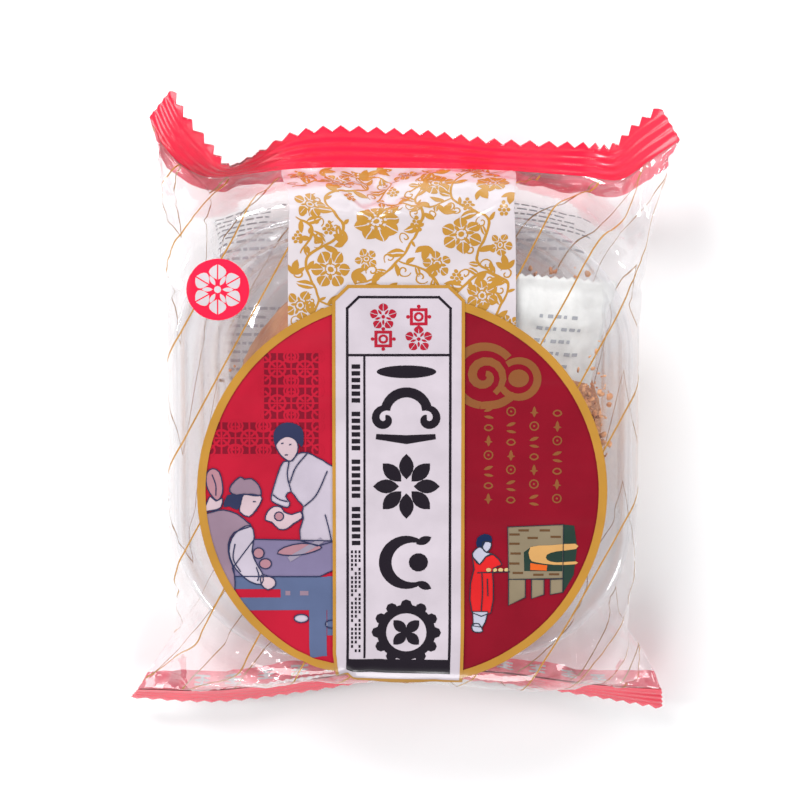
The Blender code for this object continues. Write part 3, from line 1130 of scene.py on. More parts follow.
def cloud(x, y):
    """A rolled cloud: a broad curl inside a broad band, with a smaller lobe beside it."""
    shapes = spiral(x, y, 3.4, -60, 1.35, 1.5, 1)
    shapes += ribbon(arc(x, y, 5.0, 38, 262, 28), 1.5, 0.15)
    shapes += ribbon(curve([(x - 0.7, y - 5.0), (x + 2.4, y - 4.7), (x + 5.0, y - 3.2)], 12), 1.4, 0.15)
    shapes += disc(x + 5.6, y - 0.4, 1.7, 20, 0.9)
    shapes += ribbon(arc(x + 5.6, y - 0.5, 3.1, -150, 128, 24), 1.3, 0.2)
    return shapes


def columns_of_marks():
    """Small grain shapes in four columns, each a pair of slim leaves or a dot."""
    shapes = []
    for i, x in enumerate((13.9, 17.6, 21.4, 25.2)):
        for j in range(7):
            y = 5.4 - 2.45 * j
            kind = (i * 5 + j * 3) % 4
            if kind == 0:
                shapes += leaf(x - 0.8, y, 1.7, 20, 0.35) + leaf(x - 0.8, y - 0.8, 1.7, -10, 0.3)
            elif kind == 1:
                shapes += ring(x, y, 0.7, 0.24, 12) + disc(x, y, 0.2, 6)
            elif kind == 2:
                shapes += leaf(x, y - 1.0, 1.9, 90, 0.35) + leaf(x - 0.7, y - 0.2, 1.4, 0, 0.3)
            else:
                shapes += ribbon(arc(x, y, 0.75, 200, 340, 8),
                                 0.28) + ribbon(arc(x, y - 0.5, 0.7, 20, 160, 8), 0.26)
    return shapes


def bold_motifs():
    """The bold motifs, one under the other: a cloud, a leafy wheel, a crescent and a round cake."""
    shapes = disc(0.4, 12.2, 4.9, 24, 0.22)
    shapes += ribbon(arc(0.4, 5.2, 3.5, 10, 170, 14), 1.7, 0.1)
    shapes += spiral(-3.2, 4.2, 2.0, 60, 1.0, 1.35, 1) + spiral(3.9, 4.2, 2.0, 120, 1.0, 1.35, -1)
    shapes += ribbon([(-4.6, 1.2), (0.4, 0.7), (5.2, 1.2)], 1.5, 0.4)
    for k in range(8):
        shapes += leaf(0.4 + 1.2 * math.cos(math.pi / 4 * k), -7.2 + 1.2 * math.sin(math.pi / 4 * k), 4.3,
                       45 * k, 0.56)
    shapes += ribbon(arc(0.9, -20.2, 4.0, 62, 298, 22), 2.1, 0.75)
    shapes += disc(2.4, -20.2, 1.6, 14) + leaf(2.0, -17.0, 2.8, 25, 0.5) + leaf(2.0, -23.6, 2.8, -25, 0.5)
    shapes += ring(0.4, -32.4, 4.1, 1.5, 32)
    for k in range(12):
        shapes += disc(0.4 + 4.8 * math.cos(math.pi / 6 * k), -32.4 + 4.8 * math.sin(math.pi / 6 * k), 0.95,
                       8)
    for k in range(4):
        shapes += leaf(0.4, -32.4, 3.0, 45 + 90 * k, 0.62)
    return shapes


def plaque_frames():
    """The plaque's black inner lines: a chamfered outline and the rules inside it."""
    shapes = frame_of(-9.3, -39.6, 7.6, 24.9, 0.42, 1.9)
    shapes += ribbon([(-9.3, 15.0), (7.6, 15.0)], 0.42)
    shapes += ribbon([(-6.5, 15.0), (-6.5, -37.0)], 0.36)
    shapes += bar(-9.3, -39.8, 7.6, -37.2)
    return shapes


def band_marks(bottom):
    """A row of pale blocks and petals along the back's bottom band."""
    shapes = []
    for k in range(13):
        x, y = -36.0 + 6.0 * k, bottom + 3.0
        shapes += bar(x - 1.5, y + 0.9, x + 1.5, y + 1.6) + bar(x - 1.5, y - 1.5, x + 1.5, y - 0.8)
        shapes += leaf(x - 1.6, y, 3.2, 0, 0.3) + bar(x - 0.3, y - 1.2, x + 0.3, y + 1.2)
    return shapes


def small_dashes():
    """A narrow column of short dashes down the plaque's left, in two sizes."""
    shapes = []
    y = 13.6
    for k in range(27):
        if k % 7 != 6:
            shapes += bar(-8.6, y - 0.9, -7.2, y - 0.15)
        y -= 1.15
    for column in range(3):
        for k in range(24):
            if (k + column) % 6 != 5:
                x = -8.75 + column * 0.62
                shapes += bar(x, -18.6 - k * 0.75, x + 0.34, -18.1 - k * 0.75)
    return shapes


def plaque_ornaments():
    """Four small ornaments in the plaque's top cell."""
    shapes = blossom(-3.4, 21.6, 2.2, 5, 90) + blossom(2.4, 17.8, 2.2, 5, 90)
    for x, y in ((2.4, 21.6), (-3.4, 17.8)):
        shapes += frame_of(x - 1.2, y - 1.2, x + 1.2, y + 1.2, 0.5)
        shapes += ring(x, y, 0.62, 0.4, 14)
        for k in range(4):
            shapes += disc(x + 1.75 * math.cos(math.pi / 2 * k), y + 1.75 * math.sin(math.pi / 2 * k), 0.32,
                           8)
    return shapes


def rounded(points):
    """A closed smooth outline through the points."""
    ends = [points[-1], *points, points[0], points[1]]
    shape = []
    for before, start, end, after in zip(ends, ends[1:], ends[2:], ends[3:]):
        for t in (0.0, 0.5):
            shape.append(tuple(0.5 * (2 * q + (r - p) * t + (2 * p - 5 * q + 4 * r - o) * t**2
                                      + (3 * q - p - 3 * r + o) * t**3)
                               for p, q, r, o in zip(before, start, end, after)))
    return shape


def drawn(parts, strokes, width):
    """The outlines of the coloured parts, and loose strokes, all as thin lines."""
    lines = []
    for _, _, _, shapes in parts:
        for shape in shapes:
            lines += ribbon(shape, width, closed=True)
    for stroke in strokes:
        lines += ribbon(curve(stroke, 4 * len(stroke)), width)
    return lines


def kitchen_scene():
    """Two people shaping cakes at a table, plainly drawn, as (name, colour, lift, shapes)."""
    pale, skin, navy = (0.50, 0.44, 0.52), (0.56, 0.42, 0.46), (0.030, 0.035, 0.085)
    mauve, pink, table = (0.28, 0.19, 0.25), (0.40, 0.20, 0.24), (0.20, 0.17, 0.29)
    robe = rounded([(-19.8, -3.0), (-20.6, -4.6), (-21.2, -6.5), (-21.8, -8.6), (-21.8, -9.7),
                    (-20.5, -10.4), (-19.2, -10.8),
                    (-18.8, -10.0), (-19.5, -8.9), (-18.6, -8.1), (-17.5, -9.6), (-16.6, -10.6),
                    (-16.8, -11.5), (-16.6, -12.7),
                    (-17.1, -16.4), (-11.4, -16.5), (-11.0, -5.6), (-12.5, -3.4), (-14.3, -2.3),
                    (-15.9, -1.5), (-17.5, -1.7),
                    (-18.4, -2.9)])
    sleeve = rounded([(-25.3, -13.8), (-27.1, -14.5), (-28.4, -16.0), (-28.9, -18.3), (-28.3, -20.5),
                      (-27.1, -22.1),
                      (-25.5, -23.5), (-23.6, -24.0), (-23.3, -22.3), (-24.3, -20.5), (-25.1, -18.3),
                      (-24.7, -15.7)])
    faces = [rounded([(-21.1, -0.3), (-20.6, 0.5), (-19.5, 1.2), (-18.3, 1.0), (-17.5, 0.1), (-17.5, -1.4),
                      (-18.5, -2.9),
                      (-19.4, -2.7), (-20.3, -1.9), (-20.8, -1.1)]),
             rounded([(-26.4, -8.6), (-23.6, -8.8), (-23.6, -9.9), (-24.4, -11.2), (-25.6, -12.4),
                      (-27.1, -11.5), (-26.9, -10.1)])]
    hands = [rounded([(-21.4, -10.6), (-22.5, -11.5), (-22.9, -12.9), (-21.8, -13.3), (-20.6, -14.5),
                      (-19.3, -14.4),
                      (-18.3, -13.6), (-16.8, -12.6), (-17.1, -11.5), (-18.5, -12.0), (-19.8, -11.5),
                      (-20.2, -10.8)]),
             rounded([(-23.6, -22.4), (-22.5, -22.5), (-21.4, -23.1), (-21.3, -24.2), (-22.5, -25.0),
                      (-23.6, -24.0)]),
             rounded([(-33.7, -11.5), (-32.7, -10.5), (-32.0, -8.9), (-31.0, -9.7), (-29.9, -9.2),
                      (-30.2, -10.8), (-31.7, -11.3)])]
    hair = [rounded([(-21.4, 0.4), (-21.4, 1.8), (-20.7, 3.0), (-19.2, 3.6), (-17.5, 3.2), (-16.6, 2.2),
                     (-16.5, 0.4),
                     (-16.8, -0.6), (-17.5, 0.3), (-18.3, 1.0), (-19.5, 1.2), (-20.6, 0.4), (-21.1, -0.4)]),
            rounded([(-29.1, -8.7), (-27.6, -8.6), (-26.5, -8.6), (-26.9, -10.1), (-27.5, -11.2),
                     (-28.8, -10.6), (-29.8, -10.7)])]
    cap = rounded([(-28.7, -8.1), (-28.4, -6.9), (-27.0, -5.6), (-26.3, -6.0), (-25.1, -5.9), (-23.9, -7.0),
                   (-23.5, -8.6),
                   (-24.7, -8.8), (-26.3, -8.5), (-27.6, -8.7)])
    paddle = rounded([(-32.6, -6.3), (-32.4, -4.9), (-31.5, -4.2), (-30.4, -4.8), (-29.9, -6.7),
                      (-29.9, -8.4), (-30.7, -9.6),
                      (-31.6, -8.9), (-32.3, -7.7)])
    vest = rounded([(-33.4, -12.4), (-31.4, -11.5), (-29.7, -11.2), (-27.5, -11.9), (-25.8, -13.3),
                    (-25.3, -14.0), (-28.0, -15.0),
                    (-29.0, -17.1), (-28.8, -19.5), (-28.1, -21.6), (-28.0, -25.4), (-29.3, -23.3),
                    (-32.4, -19.5), (-33.7, -15.3)])
    top = [(-24.7, -16.2), (-11.0, -16.5), (-11.0, -21.2), (-13.9, -22.6), (-28.0, -22.6), (-28.4, -21.2)]
    frame = bar(-28.2, -24.9, -11.0, -22.7)[0], bar(-28.4, -28.6, -11.0, -26.4)[0], bar(-20.4, -26.5, -11.0,
            -24.8)[0]
    legs = bar(-15.7, -37.0, -12.8, -28.6)[0], bar(-12.7, -33.0, -11.0, -22.6)[0]
    board = rounded([(-20.9, -18.7), (-19.8, -17.6), (-16.8, -16.9), (-13.9, -17.3), (-13.9, -17.9),
                     (-16.1, -18.7), (-18.5, -19.0)])
    cakes = [disc(-24.0, -18.6, 0.9, 14)[0], disc(-22.9, -20.4, 1.0, 14, 0.85)[0],
             disc(-20.6, -12.3, 0.75, 12)[0], board]
    pin = ribbon([(-19.0, -19.7), (-13.5, -16.3)], 0.9)
    shoes = [disc(-17.0, -30.0, 1.2, 12, 0.6)[0], disc(-12.0, -31.0, 1.0, 12, 0.7)[0]]
    inset = bar(-17.2, -26.0, -15.8, -25.2) + bar(-19.6, -26.0, -18.8, -25.2)
    parts = [("robes", pale, 0.26, [robe] + shoes), ("table", table, 0.30, [top]),
             ("vest", mauve, 0.34, [vest, cap]),
             ("sleeves", pale, 0.38, [sleeve]), ("skin", skin, 0.42, faces + hands),
             ("cakes", pink, 0.46, cakes + [paddle])]
    strokes = [[(-18.9, -3.0), (-19.2, -5.4), (-18.6, -8.0)], [(-15.9, -1.6), (-17.8, -4.0), (-18.8, -6.6)],
               [(-12.6, -4.6), (-14.4, -8.6), (-16.4, -10.6)],
               [(-13.0, -12.0), (-12.4, -14.4), (-12.0, -16.4)],
               [(-21.6, -8.6), (-20.6, -9.4), (-19.2, -9.8)],
               [(-27.9, -17.0), (-28.2, -19.6), (-27.0, -21.8)],
               [(-24.4, -21.0), (-24.0, -22.4), (-24.2, -23.4)],
               [(-31.6, -5.2), (-31.0, -7.0), (-31.0, -8.8)],
               [(-20.2, 0.0), (-19.8, 0.1)], [(-18.9, -0.2), (-18.5, -0.1)], [(-19.6, -1.9), (-19.1, -1.9)],
               [(-24.9, -9.8), (-24.4, -9.8)], [(-24.6, -11.4), (-24.2, -11.3)]]
    blue = [("table_frame", (0.10, 0.13, 0.24), 0.28, [*frame, *legs]),
            ("pin", (0.30, 0.26, 0.34), 0.50, pin),
            ("inset", mauve, 0.32, inset), ("hair", navy, 0.50, hair)]
    return parts + blue + [("lines", navy, 0.54, drawn(parts, strokes, 0.2))]


def oven_scene():
    """A baker in red beside a brick oven, plainly drawn."""
    stone, dark, fire, brick = (0.25, 0.20, 0.13), (0.022, 0.045, 0.035), (0.62, 0.34, 0.12), (0.13, 0.065,
            0.03)
    block = [[(17.1, -14.1), (26.3, -13.7), (26.3, -22.9), (17.3, -23.1)],
             [(17.3, -23.1), (20.1, -23.1), (20.1, -26.2), (17.3, -27.6)],
             [(21.1, -23.1), (23.2, -23.1), (23.2, -25.7), (21.1, -26.4)],
             [(24.2, -23.1), (26.3, -23.0), (26.3, -25.3), (24.2, -25.7)]]
    shade = [[(26.3, -13.7), (28.1, -13.9), (28.6, -17.5), (28.1, -22.3), (26.3, -25.5)],
             [(19.9, -21.7), (19.8, -18.5), (21.1, -17.5), (26.2, -17.6), (26.2, -21.7)]]
    smoke = rounded([(20.9, -17.6), (24.1, -17.3), (28.3, -17.0), (28.4, -17.9), (25.3, -18.3),
                     (23.6, -18.9), (23.7, -19.8),
                     (25.3, -20.2), (28.4, -20.0), (28.4, -20.5), (24.9, -20.6), (21.9, -20.2),
                     (20.8, -19.6)])
    glow = [[(20.9, -20.3), (21.9, -20.5), (23.7, -20.7), (23.6, -21.6), (20.9, -21.5)]]
    bricks = []
    for x, y in ((17.4, -15.6), (18.9, -14.9), (17.4, -17.2), (17.6, -18.9), (17.4, -20.6), (22.4, -14.9),
                 (24.2, -16.0), (24.0, -22.4),
                 (18.0, -22.2), (20.4, -16.2), (21.4, -22.5)):
        bricks += bar(x, y, x + 1.7, y + 0.36)
    robe = rounded([(11.3, -19.2), (12.5, -20.6), (13.5, -19.3), (14.8, -18.9), (16.2, -20.6),
                    (14.7, -21.3), (14.8, -24.0),
                    (14.4, -28.9), (11.3, -28.9), (11.0, -24.0), (11.6, -21.4)])
    scarf = rounded([(11.3, -18.7), (12.5, -17.5), (13.6, -18.5), (14.7, -18.8), (13.5, -19.3),
                     (12.5, -20.6), (11.7, -19.8)])
    trousers = [(11.4, -28.7), (13.9, -28.7), (13.5, -30.5), (13.0, -31.4), (11.5, -31.2)]
    shoes = rounded([(11.3, -31.0), (12.4, -30.8), (13.1, -32.1), (12.1, -32.3), (11.4, -32.0)])
    face = rounded([(13.0, -16.8), (13.5, -16.6), (14.4, -16.8), (14.3, -17.8), (13.6, -18.5),
                    (13.0, -17.8)])
    hair = rounded([(12.0, -17.5), (12.1, -16.0), (13.3, -15.3), (14.4, -15.7), (14.5, -16.7),
                    (13.5, -16.6), (13.0, -17.6)])
    cakes = [disc(x, -21.5, 0.42, 10, 0.8)[0] for x in (14.0, 15.0, 16.0, 17.0)]
    parts = [("oven", stone, 0.26, block), ("baker_robe", (0.66, 0.020, 0.022), 0.30, [robe]),
             ("baker_scarf", (0.46, 0.46, 0.56), 0.38, [scarf, trousers, shoes, face])]
    strokes = [[(12.9, -22.0), (13.0, -25.4), (12.8, -28.6)], [(13.8, -23.0), (13.9, -26.0)],
               [(12.1, -22.0), (17.5, -21.8)]]
    return parts + [("oven_dark", dark, 0.30, shade), ("bricks", brick, 0.34, bricks),
                    ("oven_fire", fire, 0.36, [smoke]),
                    ("glow", (0.70, 0.12, 0.02), 0.38, glow),
                    ("baker_hair", (0.010, 0.022, 0.07), 0.44, [hair]),
                    ("tray_cakes", (0.58, 0.44, 0.20), 0.46, cakes),
                    ("oven_lines", (0.022, 0.03, 0.045), 0.50, drawn(parts, strokes, 0.18))]


def back_dashes():
    """Blocks of small grey dashes, where a pack lists what is in it."""
    shapes = []
    for x0, y0, rows, width in ((-32.0, 38.0, 9, 13.0), (17.0, 38.0, 8, 14.0), (-33.0, 17.0, 10, 14.0),
                                (19.0, 12.0, 9, 12.0),
                                (-31.0, -12.0, 8, 12.0), (16.0, -16.0, 8, 13.0)):
        for r in range(rows):
            x = x0
            k = 0
            while x < x0 + width - 1.5 * ((r * 7) % 4):
                step = 0.7 + 0.9 * ((r * 5 + k * 3) % 4) / 3
                shapes += bar(x, y0 - r * 1.5, x + step, y0 - r * 1.5 + 0.5)
                x += step + 0.35
                k += 1
    return shapes


class MOONCAKE_OT_print(bpy.types.Operator):
    """Lays the print on the film: bands, flowers, medallion, plaque and the lines on the back"""

    bl_idname = "mooncake.print"
    bl_label = "Print"

    def execute(self, context):
        film = formed_film()
        p = settings().print
        top, bottom, crimp = film.f.top_length / MM, -film.f.bottom_length / MM, film.f.crimp_width / MM
        side = film.round / MM / 2 - 0.01
        gold = ink_material("gold_ink", tuple(p.gold))
        red = ink_material("band_red", tuple(p.band_red))
        pale = ink_material("panel_ink", tuple(p.panel))
        brown = ink_material("brown_gold_ink", tuple(p.brown_gold))
        black = ink_material("black_ink", tuple(p.black))
        grey = ink_material("grey_ink", tuple(p.grey))
        bright, deep = ink_material("bright_red_ink", tuple(p.bright_red)), ink_material("deep_red_ink",
                tuple(p.deep_red))
        dark = ink_material("dark_red_ink", tuple(p.dark_red))
        plaque = ink_material("plaque_ink", tuple(p.plaque))
        # The back band's ink is a lighter red than the front band's. This is painted light: it stands in for
        # the light the band lacks in the shade inside the pack.
        pink = ink_material("back_band_painted_light_red", (0.95, 0.15, 0.21))
        ornament = ink_material("ornament_red", (0.42, 0.014, 0.034))

        def put(name, shapes, lift, material, side="front", within=None):
            print_piece(film, name, shapes, LOWEST_LAYER + LAYER_SCALE * lift, material, side, within)

        clear_zone = bar(-side, bottom + 0.5, side, top - 0.5)[0]
        put("front_hairlines", hairlines(), 0.03, gold, within=clear_zone)
        put("back_hairlines", hairlines(), 0.03, gold, "back", clear_zone)
        for where, fold, ink in (("front", 0.0, red), ("back", 6.0, pink)):
            bands = bar(-side, top - fold, side, top + crimp) + bar(-side, bottom - crimp, side, bottom
                    + fold)
            put(where + "_band", bands, 0.08, ink, where)
        for where, lift in (("inside", 0.04), ("outside", 0.12)):
            put("back_marks_" + where, band_marks(bottom), lift, pale, "back")
        put("back_dashes", back_dashes(), 0.06, grey, "back")
        put("panel", bar(-19.0, 8.0, 18.3, top), 0.08, pale)
        panel_zone = bar(-19.0, 10.0, 18.3, top)[0]
        put("panel_flowers", wobbled(flower_field(), 0.25, 4.0), 0.13, gold, within=panel_zone)
        x, y, radius = -0.3, -8.3, p.medallion - p.ring
        put("medallion_left", [arc(x, y, radius + 0.4, 90, 270, 60)], 0.17, bright)
        put("medallion_right", [arc(x, y, radius + 0.4, -90, 90, 60)], 0.17, deep)
        field = arc(x, y, radius + 0.4, 0, 357, 120)
        put("lattice", lattice(), 0.205, dark, within=field)
        put("lattice_bars", lattice_bars(), 0.235, bright, within=field)
        put("cloud_and_marks", cloud(13.2, 11.4) + columns_of_marks(), 0.22, brown,
            within=field)
        for name, tint, lift, shapes in kitchen_scene() + oven_scene():
            put("drawn_" + name, shapes, lift, ink_material(name + "_ink", tint), within=field)
        put("medallion_ring", ring(x, y, p.medallion - p.ring / 2, p.ring, 120), 0.58, gold)
        put("plaque", chamfered(-11.5, -41.4, 9.7, 26.7, 2.4), 0.63, plaque)
        put("plaque_outline", frame_of(-11.5, -41.4, 9.7, 26.7, 0.55, 2.4), 0.70, gold)
        put("plaque_lines", plaque_frames() + bold_motifs() + small_dashes(), 0.70, black)
        put("plaque_ornaments", plaque_ornaments(), 0.70, ornament)
        put("roundel", disc(-30.5, 26.0, 5.2, 40, 1.0), 0.10, red)
        put("roundel_blossom", blossom(-30.5, 26.0, 4.0, 6, 30), 0.15, pale)
        return {"FINISHED"}


class MOONCAKE_OT_tray(bpy.types.Operator):
    """Adds the clear tray with its stepped wall and turned rim"""

    bl_idname = "mooncake.tray"
    bl_label = "Tray"

    def execute(self, context):
        t = settings().tray
        hx, hy, bx, by, top = t.rim_width / 2, t.rim_length / 2, t.base_width / 2, t.base_length / 2, t.height
        levels = [(bx - 0.0055, by - 0.0055, 0.0130, 0.0022), (bx - 0.0046, by - 0.0046, 0.0138, 0.0020),
                  (bx - 0.0040, by - 0.0040, 0.0142, 0.0012), (bx - 0.0016, by - 0.0016, 0.0160, 0.0010),
                  (bx - 0.0004, by - 0.0004, 0.0170, 0.0016), (bx + 0.0004, by + 0.0004, 0.0176, 0.0040),
                  (hx - 0.0092, hy - 0.0092, 0.0188, 0.0100), (hx - 0.0086, hy - 0.0086, 0.0190, 0.0108),
                  (hx - 0.0074, hy - 0.0074, 0.0194, 0.0111), (hx - 0.0070, hy - 0.0070, 0.0197, 0.0150),
                  (hx - 0.0064, hy - 0.0064, 0.0200, 0.0158), (hx - 0.0050, hy - 0.0050, 0.0204, 0.0161),
                  (hx - 0.0046, hy - 0.0046, 0.0207, 0.0206), (hx - 0.0040, hy - 0.0040, 0.0210, 0.0214),
                  (hx - 0.0024, hy - 0.0024, 0.0213, 0.0217),
                  (hx - 0.0017, hy - 0.0017, 0.0216, top - 0.0012),
                  (hx - 0.0013, hy - 0.0013, 0.0220, top - 0.0004),
                  (hx - 0.0006, hy - 0.0006, 0.0228, top - 0.0002),
                  (hx - 0.0002, hy - 0.0002, 0.0236, top - 0.0004),
                  (hx, hy, 0.0240, top - 0.0012)]
        tray = lofted("tray", levels, 128)
        facing_out(tray)
        wall = tray.modifiers.new("Wall", "SOLIDIFY")
        wall.thickness = t.wall
        wall.offset = -1
        bpy.ops.object.modifier_apply(modifier=wall.name)
        clear = clear_material("clear_tray", (0.980, 0.980, 0.986), 0.07, 0.09, 0.05, 120.0, 0.00014)
        finish_piece(tray, clear, math.radians(50))
        return {"FINISHED"}


class MOONCAKE_OT_pastry(bpy.types.Operator):
    """Adds the round baked pastry with its uneven flaky crust"""

    bl_idname = "mooncake.pastry"
    bl_label = "Pastry"

    def execute(self, context):
        p = settings().pastry
        deselect()
        bpy.ops.mesh.primitive_uv_sphere_add(segments=160, ring_count=96, radius=1.0)
        cake = context.object
        cake.name = cake.data.name = "pastry"
        centre = Vector((0.0022, -0.0015, 0.0026))
        for vertex in cake.data.vertices:
            x, y, z = vertex.co
            flat = math.hypot(x, y)
            power = 2.7 if z > 0 else 5.0
            stretch = 1.0 / max((flat**power + abs(z) ** power) ** (1 / power), 1e-6)
            place = Vector((x, y, z)) * stretch
            rough = 0.018 * noise.noise(place * 2.2) + 0.012 * noise.noise(place * 6.0)
            flaky = 0.010 * abs(noise.noise(Vector((place.x * 14, place.y * 14, place.z * 26))))
            place *= 0.972 + rough + flaky
            lean = 0.03 * noise.noise(Vector((math.atan2(y, x), 0.0, 4.0)))
            vertex.co = centre + Vector((place.x * p.diameter / 2 * (1 + lean),
                                         place.y * p.diameter / 2 * (1 + lean),
                                         (place.z * 0.5 + 0.5) * p.height))
        finish_piece(cake, crust_material())
        return {"FINISHED"}


class MOONCAKE_OT_sachet(bpy.types.Operator):
    """Adds the white paper sachet with its toothed ends, beside the pastry"""

    bl_idname = "mooncake.sachet"
    bl_label = "Sachet"

    def execute(self, context):
        s = settings().sachet
        across, along = 24, 48
        turn = Euler((math.radians(8), math.radians(22), math.radians(-9))).to_matrix().to_4x4()
        place = Matrix.Translation((0.0252, 0.0158, 0.0228)) @ turn

        def puffed(u, v, sign):
            seal = 0.15
            inside = max(0.0, 1 - (abs(v) / (1 - seal)) ** 4) if abs(v) < 1 - seal else 0.0
            width = s.width / 2 * (1 - 0.06 * inside)
            height = s.puff / 2 * inside * max(0.0, 1 - abs(u) ** 3) ** 0.6
            height *= 1 + 0.25 * noise.noise(Vector((u * 2.2, v * 3.1, 5.0)))
            teeth = 0.0005 * ((round((u + 1) / 2 * across)) % 2) if abs(v) > 0.999 else 0
            y = s.length / 2 * v + math.copysign(teeth, v)
            ripple = 0.0003 * noise.noise(Vector((u * 3, v * 4, 1.0)))
            return place @ Vector((u * width, y, sign * (height + 0.00006) + ripple))

        places, faces = [], []
        count = (across + 1) * (along + 1)
        for sign in (1, -1):
            for j in range(along + 1):
                for i in range(across + 1):
                    places.append(puffed(2 * i / across - 1, 2 * j / along - 1, sign))
        for j in range(along):
            for i in range(across):
                a = j * (across + 1) + i
                b, c, d = a + 1, a + across + 2, a + across + 1
                faces += [(a, b, c, d), (count + d, count + c, count + b, count + a)]
        rim = [j for j in range(across + 1)] + [j * (across + 1) + across for j in range(1, along + 1)]
        rim += [along * (across + 1) + i for i in range(across - 1, -1, -1)] + [j * (across + 1)
                for j in range(along - 1, 0, -1)]
        for a, b in zip(rim, rim[1:] + rim[:1]):
            faces.append((b, a, count + a, count + b))
        sachet = mesh_object("sachet", [tuple(q) for q in places], faces)
        facing_out(sachet)
        finish_piece(sachet, paper_material())
        marks = []
        for row in range(5):
            for k in range(6 if row % 2 else 5):
                marks.append((-0.0045 + 0.0016 * k, 0.0050 - 0.0022 * row, 0.0011 if (k + row) % 3
                              else 0.0006))
        self.marks(puffed, marks, s)
        return {"FINISHED"}

    def marks(self, puffed, marks, s):
        """Small grey dashes printed across the sachet."""
        places, faces = [], []
        for x, y, w in marks:
            for a, b in ((x, y), (x + w, y), (x + w, y + 0.0006), (x, y + 0.0006)):
                spot = puffed(a / (s.width / 2), b / (s.length / 2), 1)
                up = puffed(a / (s.width / 2), b / (s.length / 2), 1.12) - spot
                places.append(tuple(spot + up.normalized() * 0.00008))
            n = len(places)
            faces.append((n - 4, n - 3, n - 2, n - 1))
        made = mesh_object("sachet_marks", places, faces)
        finish_piece(made, ink_material("sachet_grey", (0.42, 0.43, 0.47)))


class MOONCAKE_OT_crumbs(bpy.types.Operator):
    """Scatters crumbs and flakes of crust over the tray"""

    bl_idname = "mooncake.crumbs"
    bl_label = "Crumbs"

    count: IntProperty(name="Count", description="How many crumbs", default=170)

    def execute(self, context):
        rng = np.random.default_rng(7)
        deselect()
        bpy.ops.mesh.primitive_ico_sphere_add(subdivisions=2, radius=1.0)
        model = context.object
        base = places_of(model.data)
        faces = np.array([p.vertices[:] for p in model.data.polygons])
        bpy.data.objects.remove(model)
        places, all_faces = [], []
        spots = [((0.0322, 0.0070, 0.0262), (0.0016, 0.0070, 0.0006), 0.34),
                 ((0.0335, -0.0010, 0.0240), (0.0010, 0.0060, 0.0010), 0.16),
                 ((0.0230, 0.0262, 0.0215), (0.0040, 0.0016, 0.0012), 0.20),
                 ((-0.0286, 0.0115, 0.0225), (0.0006, 0.0006, 0.0004), 0.03),
                 ((0.0265, -0.0265, 0.0030), (0.0040, 0.0040, 0.0004), 0.13),
                 ((-0.0265, -0.0265, 0.0030), (0.0040, 0.0040, 0.0004), 0.14)]
        for number in range(self.count):
            pick = rng.random()
            for centre, spread, share in spots:
                pick -= share
                if pick <= 0:
                    break
            size = 0.00022 + 0.00055 * rng.random() ** 2
            stretch = np.array([1.0, 0.6 + 0.8 * rng.random(), 0.25 + 0.4 * rng.random()])
            turn = np.array(Euler(tuple(rng.random(3) * 6.28)).to_matrix())
            lumps = np.array([1 + 0.35 * noise.noise(Vector(v) * 1.7 + Vector((number, 0, 0)))
                              for v in base])[:, None]
            centre = np.array(centre) + np.array(spread) * rng.normal(size=3) * 0.8
            places.append(base * lumps * stretch * size @ turn.T + centre)
            all_faces.append(faces + number * len(base))
        crumbs = mesh_object("crumbs", np.concatenate(places), np.concatenate(all_faces))
        n = Nodes("crumb_crust")
        tone = n.ramp(n.object_noise(400.0).outputs["Fac"], (0.35, (0.55, 0.20, 0.075)),
                      (0.65, (0.80, 0.42, 0.20)))
        shader = n.add("BsdfPrincipled", Base_Color=tone, Roughness=0.7)
        finish_piece(crumbs, n.surface(shader.outputs["BSDF"]))
        return {"FINISHED"}


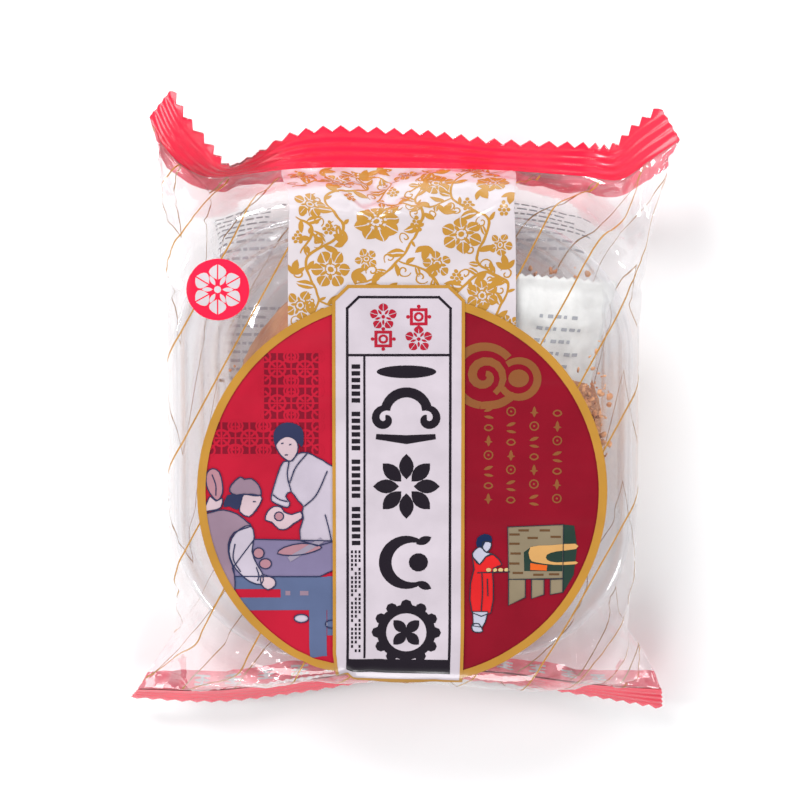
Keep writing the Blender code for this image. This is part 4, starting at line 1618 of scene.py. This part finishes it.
class MOONCAKE_OT_stage(bpy.types.Operator):
    """Adds the pale floor, the soft lights and the camera"""

    bl_idname = "mooncake.stage"
    bl_label = "Stage"

    def execute(self, context):
        s = settings().stage
        scene = context.scene
        deselect()
        bpy.ops.mesh.primitive_plane_add(size=6.0, location=(0, 0, 0))
        floor = context.object
        floor.name = "floor"
        n = Nodes("pale_floor")
        cloudy = n.ramp(n.object_noise(6.0).outputs["Fac"], (0.3, shaded(s.floor, 0.995)),
                        (0.7, tuple(s.floor)))
        floor.data.materials.append(n.surface(n.add("BsdfPrincipled", Base_Color=cloudy,
                Roughness=0.9).outputs["BSDF"]))
        scene.world = self.studio()
        middle = Vector((0, 0, 0.015))
        for name, place, size, power in (("key", (-0.30, 0.66, 0.66), 0.30, 5.8),
                                         ("left_strip", (-0.75, 0.10, 0.45), 0.22, 2.8),
                                         ("right_strip", (0.70, 0.25, 0.50), 0.22, 2.9),
                                         ("front_fill", (0.0, -0.75, 0.60), 0.35, 2.2)):
            lamp = bpy.data.lights.new(name, "AREA")
            lamp.shape = "SQUARE"
            lamp.size = size
            lamp.energy = power
            holder = bpy.data.objects.new(name, lamp)
            holder.location = place
            holder.rotation_euler = (middle - Vector(place)).to_track_quat("-Z", "Y").to_euler()
            scene.collection.objects.link(holder)
        camera = bpy.data.cameras.new("camera")
        camera.sensor_width = 36.0
        camera.lens = camera.sensor_width * s.distance / s.view_width
        camera.clip_start, camera.clip_end = 0.05, 10.0
        holder = bpy.data.objects.new("camera", camera)
        target = Vector((-0.0005, 0.0054, 0.020))
        holder.location = target + s.distance * Vector((0, math.sin(s.tilt), math.cos(s.tilt)))
        holder.rotation_euler = (-s.tilt, 0, 0)
        scene.collection.objects.link(holder)
        scene.camera = holder
        scene.view_settings.view_transform = "Standard"
        scene.cycles.transparent_max_bounces = 32
        return {"FINISHED"}

    def studio(self):
        """A pale room with a grey band round it, dark straight above, so that flat film mirrors no light."""
        world = bpy.data.worlds.new("studio")
        world.use_nodes = True
        tree = world.node_tree
        background = tree.nodes["Background"]
        background.inputs["Strength"].default_value = 0.60
        direction = tree.nodes.new("ShaderNodeTexCoord").outputs["Generated"]
        split = tree.nodes.new("ShaderNodeSeparateXYZ")
        ramp = tree.nodes.new("ShaderNodeValToRGB")
        tree.links.new(direction, split.inputs[0])
        tree.links.new(split.outputs["Z"], ramp.inputs["Fac"])
        tree.links.new(ramp.outputs["Color"], background.inputs["Color"])
        bright, grey, dark = (0.98, 0.99, 1.0, 1), (0.22, 0.22, 0.24, 1), (0.03, 0.03, 0.035, 1)
        stops = ((0.00, bright), (0.30, bright), (0.33, grey), (0.42, grey), (0.45, bright), (0.86, bright),
                 (0.95, dark))
        elements = ramp.color_ramp.elements
        while len(elements) < len(stops):
            elements.new(0.5)
        for element, (height, tint) in zip(elements, stops):
            element.position, element.color = height, tint
        return world


class MOONCAKE_PT_panel(bpy.types.Panel):
    """Lists the wrapped mooncake's pieces and settings"""

    bl_label = "Wrapped Mooncake"
    bl_idname = "MOONCAKE_PT_panel"
    bl_space_type = "VIEW_3D"
    bl_region_type = "UI"
    bl_category = "Mooncake"

    def draw(self, context):
        for operator in OPERATORS:
            self.layout.operator(operator.bl_idname)
        for name, group in SETTINGS.items():
            box = self.layout.box()
            box.label(text=group.__doc__)
            for key in group.__annotations__:
                box.prop(getattr(context.scene.mooncake, name), key)


OPERATORS = (MOONCAKE_OT_film, MOONCAKE_OT_print, MOONCAKE_OT_tray, MOONCAKE_OT_pastry, MOONCAKE_OT_sachet,
             MOONCAKE_OT_crumbs, MOONCAKE_OT_stage)
CLASSES = (*SETTINGS.values(), MooncakeSettings, *OPERATORS, MOONCAKE_PT_panel)


def register():
    for one in CLASSES:
        bpy.utils.register_class(one)
    bpy.types.Scene.mooncake = PointerProperty(type=MooncakeSettings)


def unregister():
    del bpy.types.Scene.mooncake
    for one in reversed(CLASSES):
        bpy.utils.unregister_class(one)


def main():
    register()
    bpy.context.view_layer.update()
    for operator in OPERATORS:
        module, name = operator.bl_idname.split(".")
        getattr(getattr(bpy.ops, module), name)()


if __name__ == "__main__":
    main()
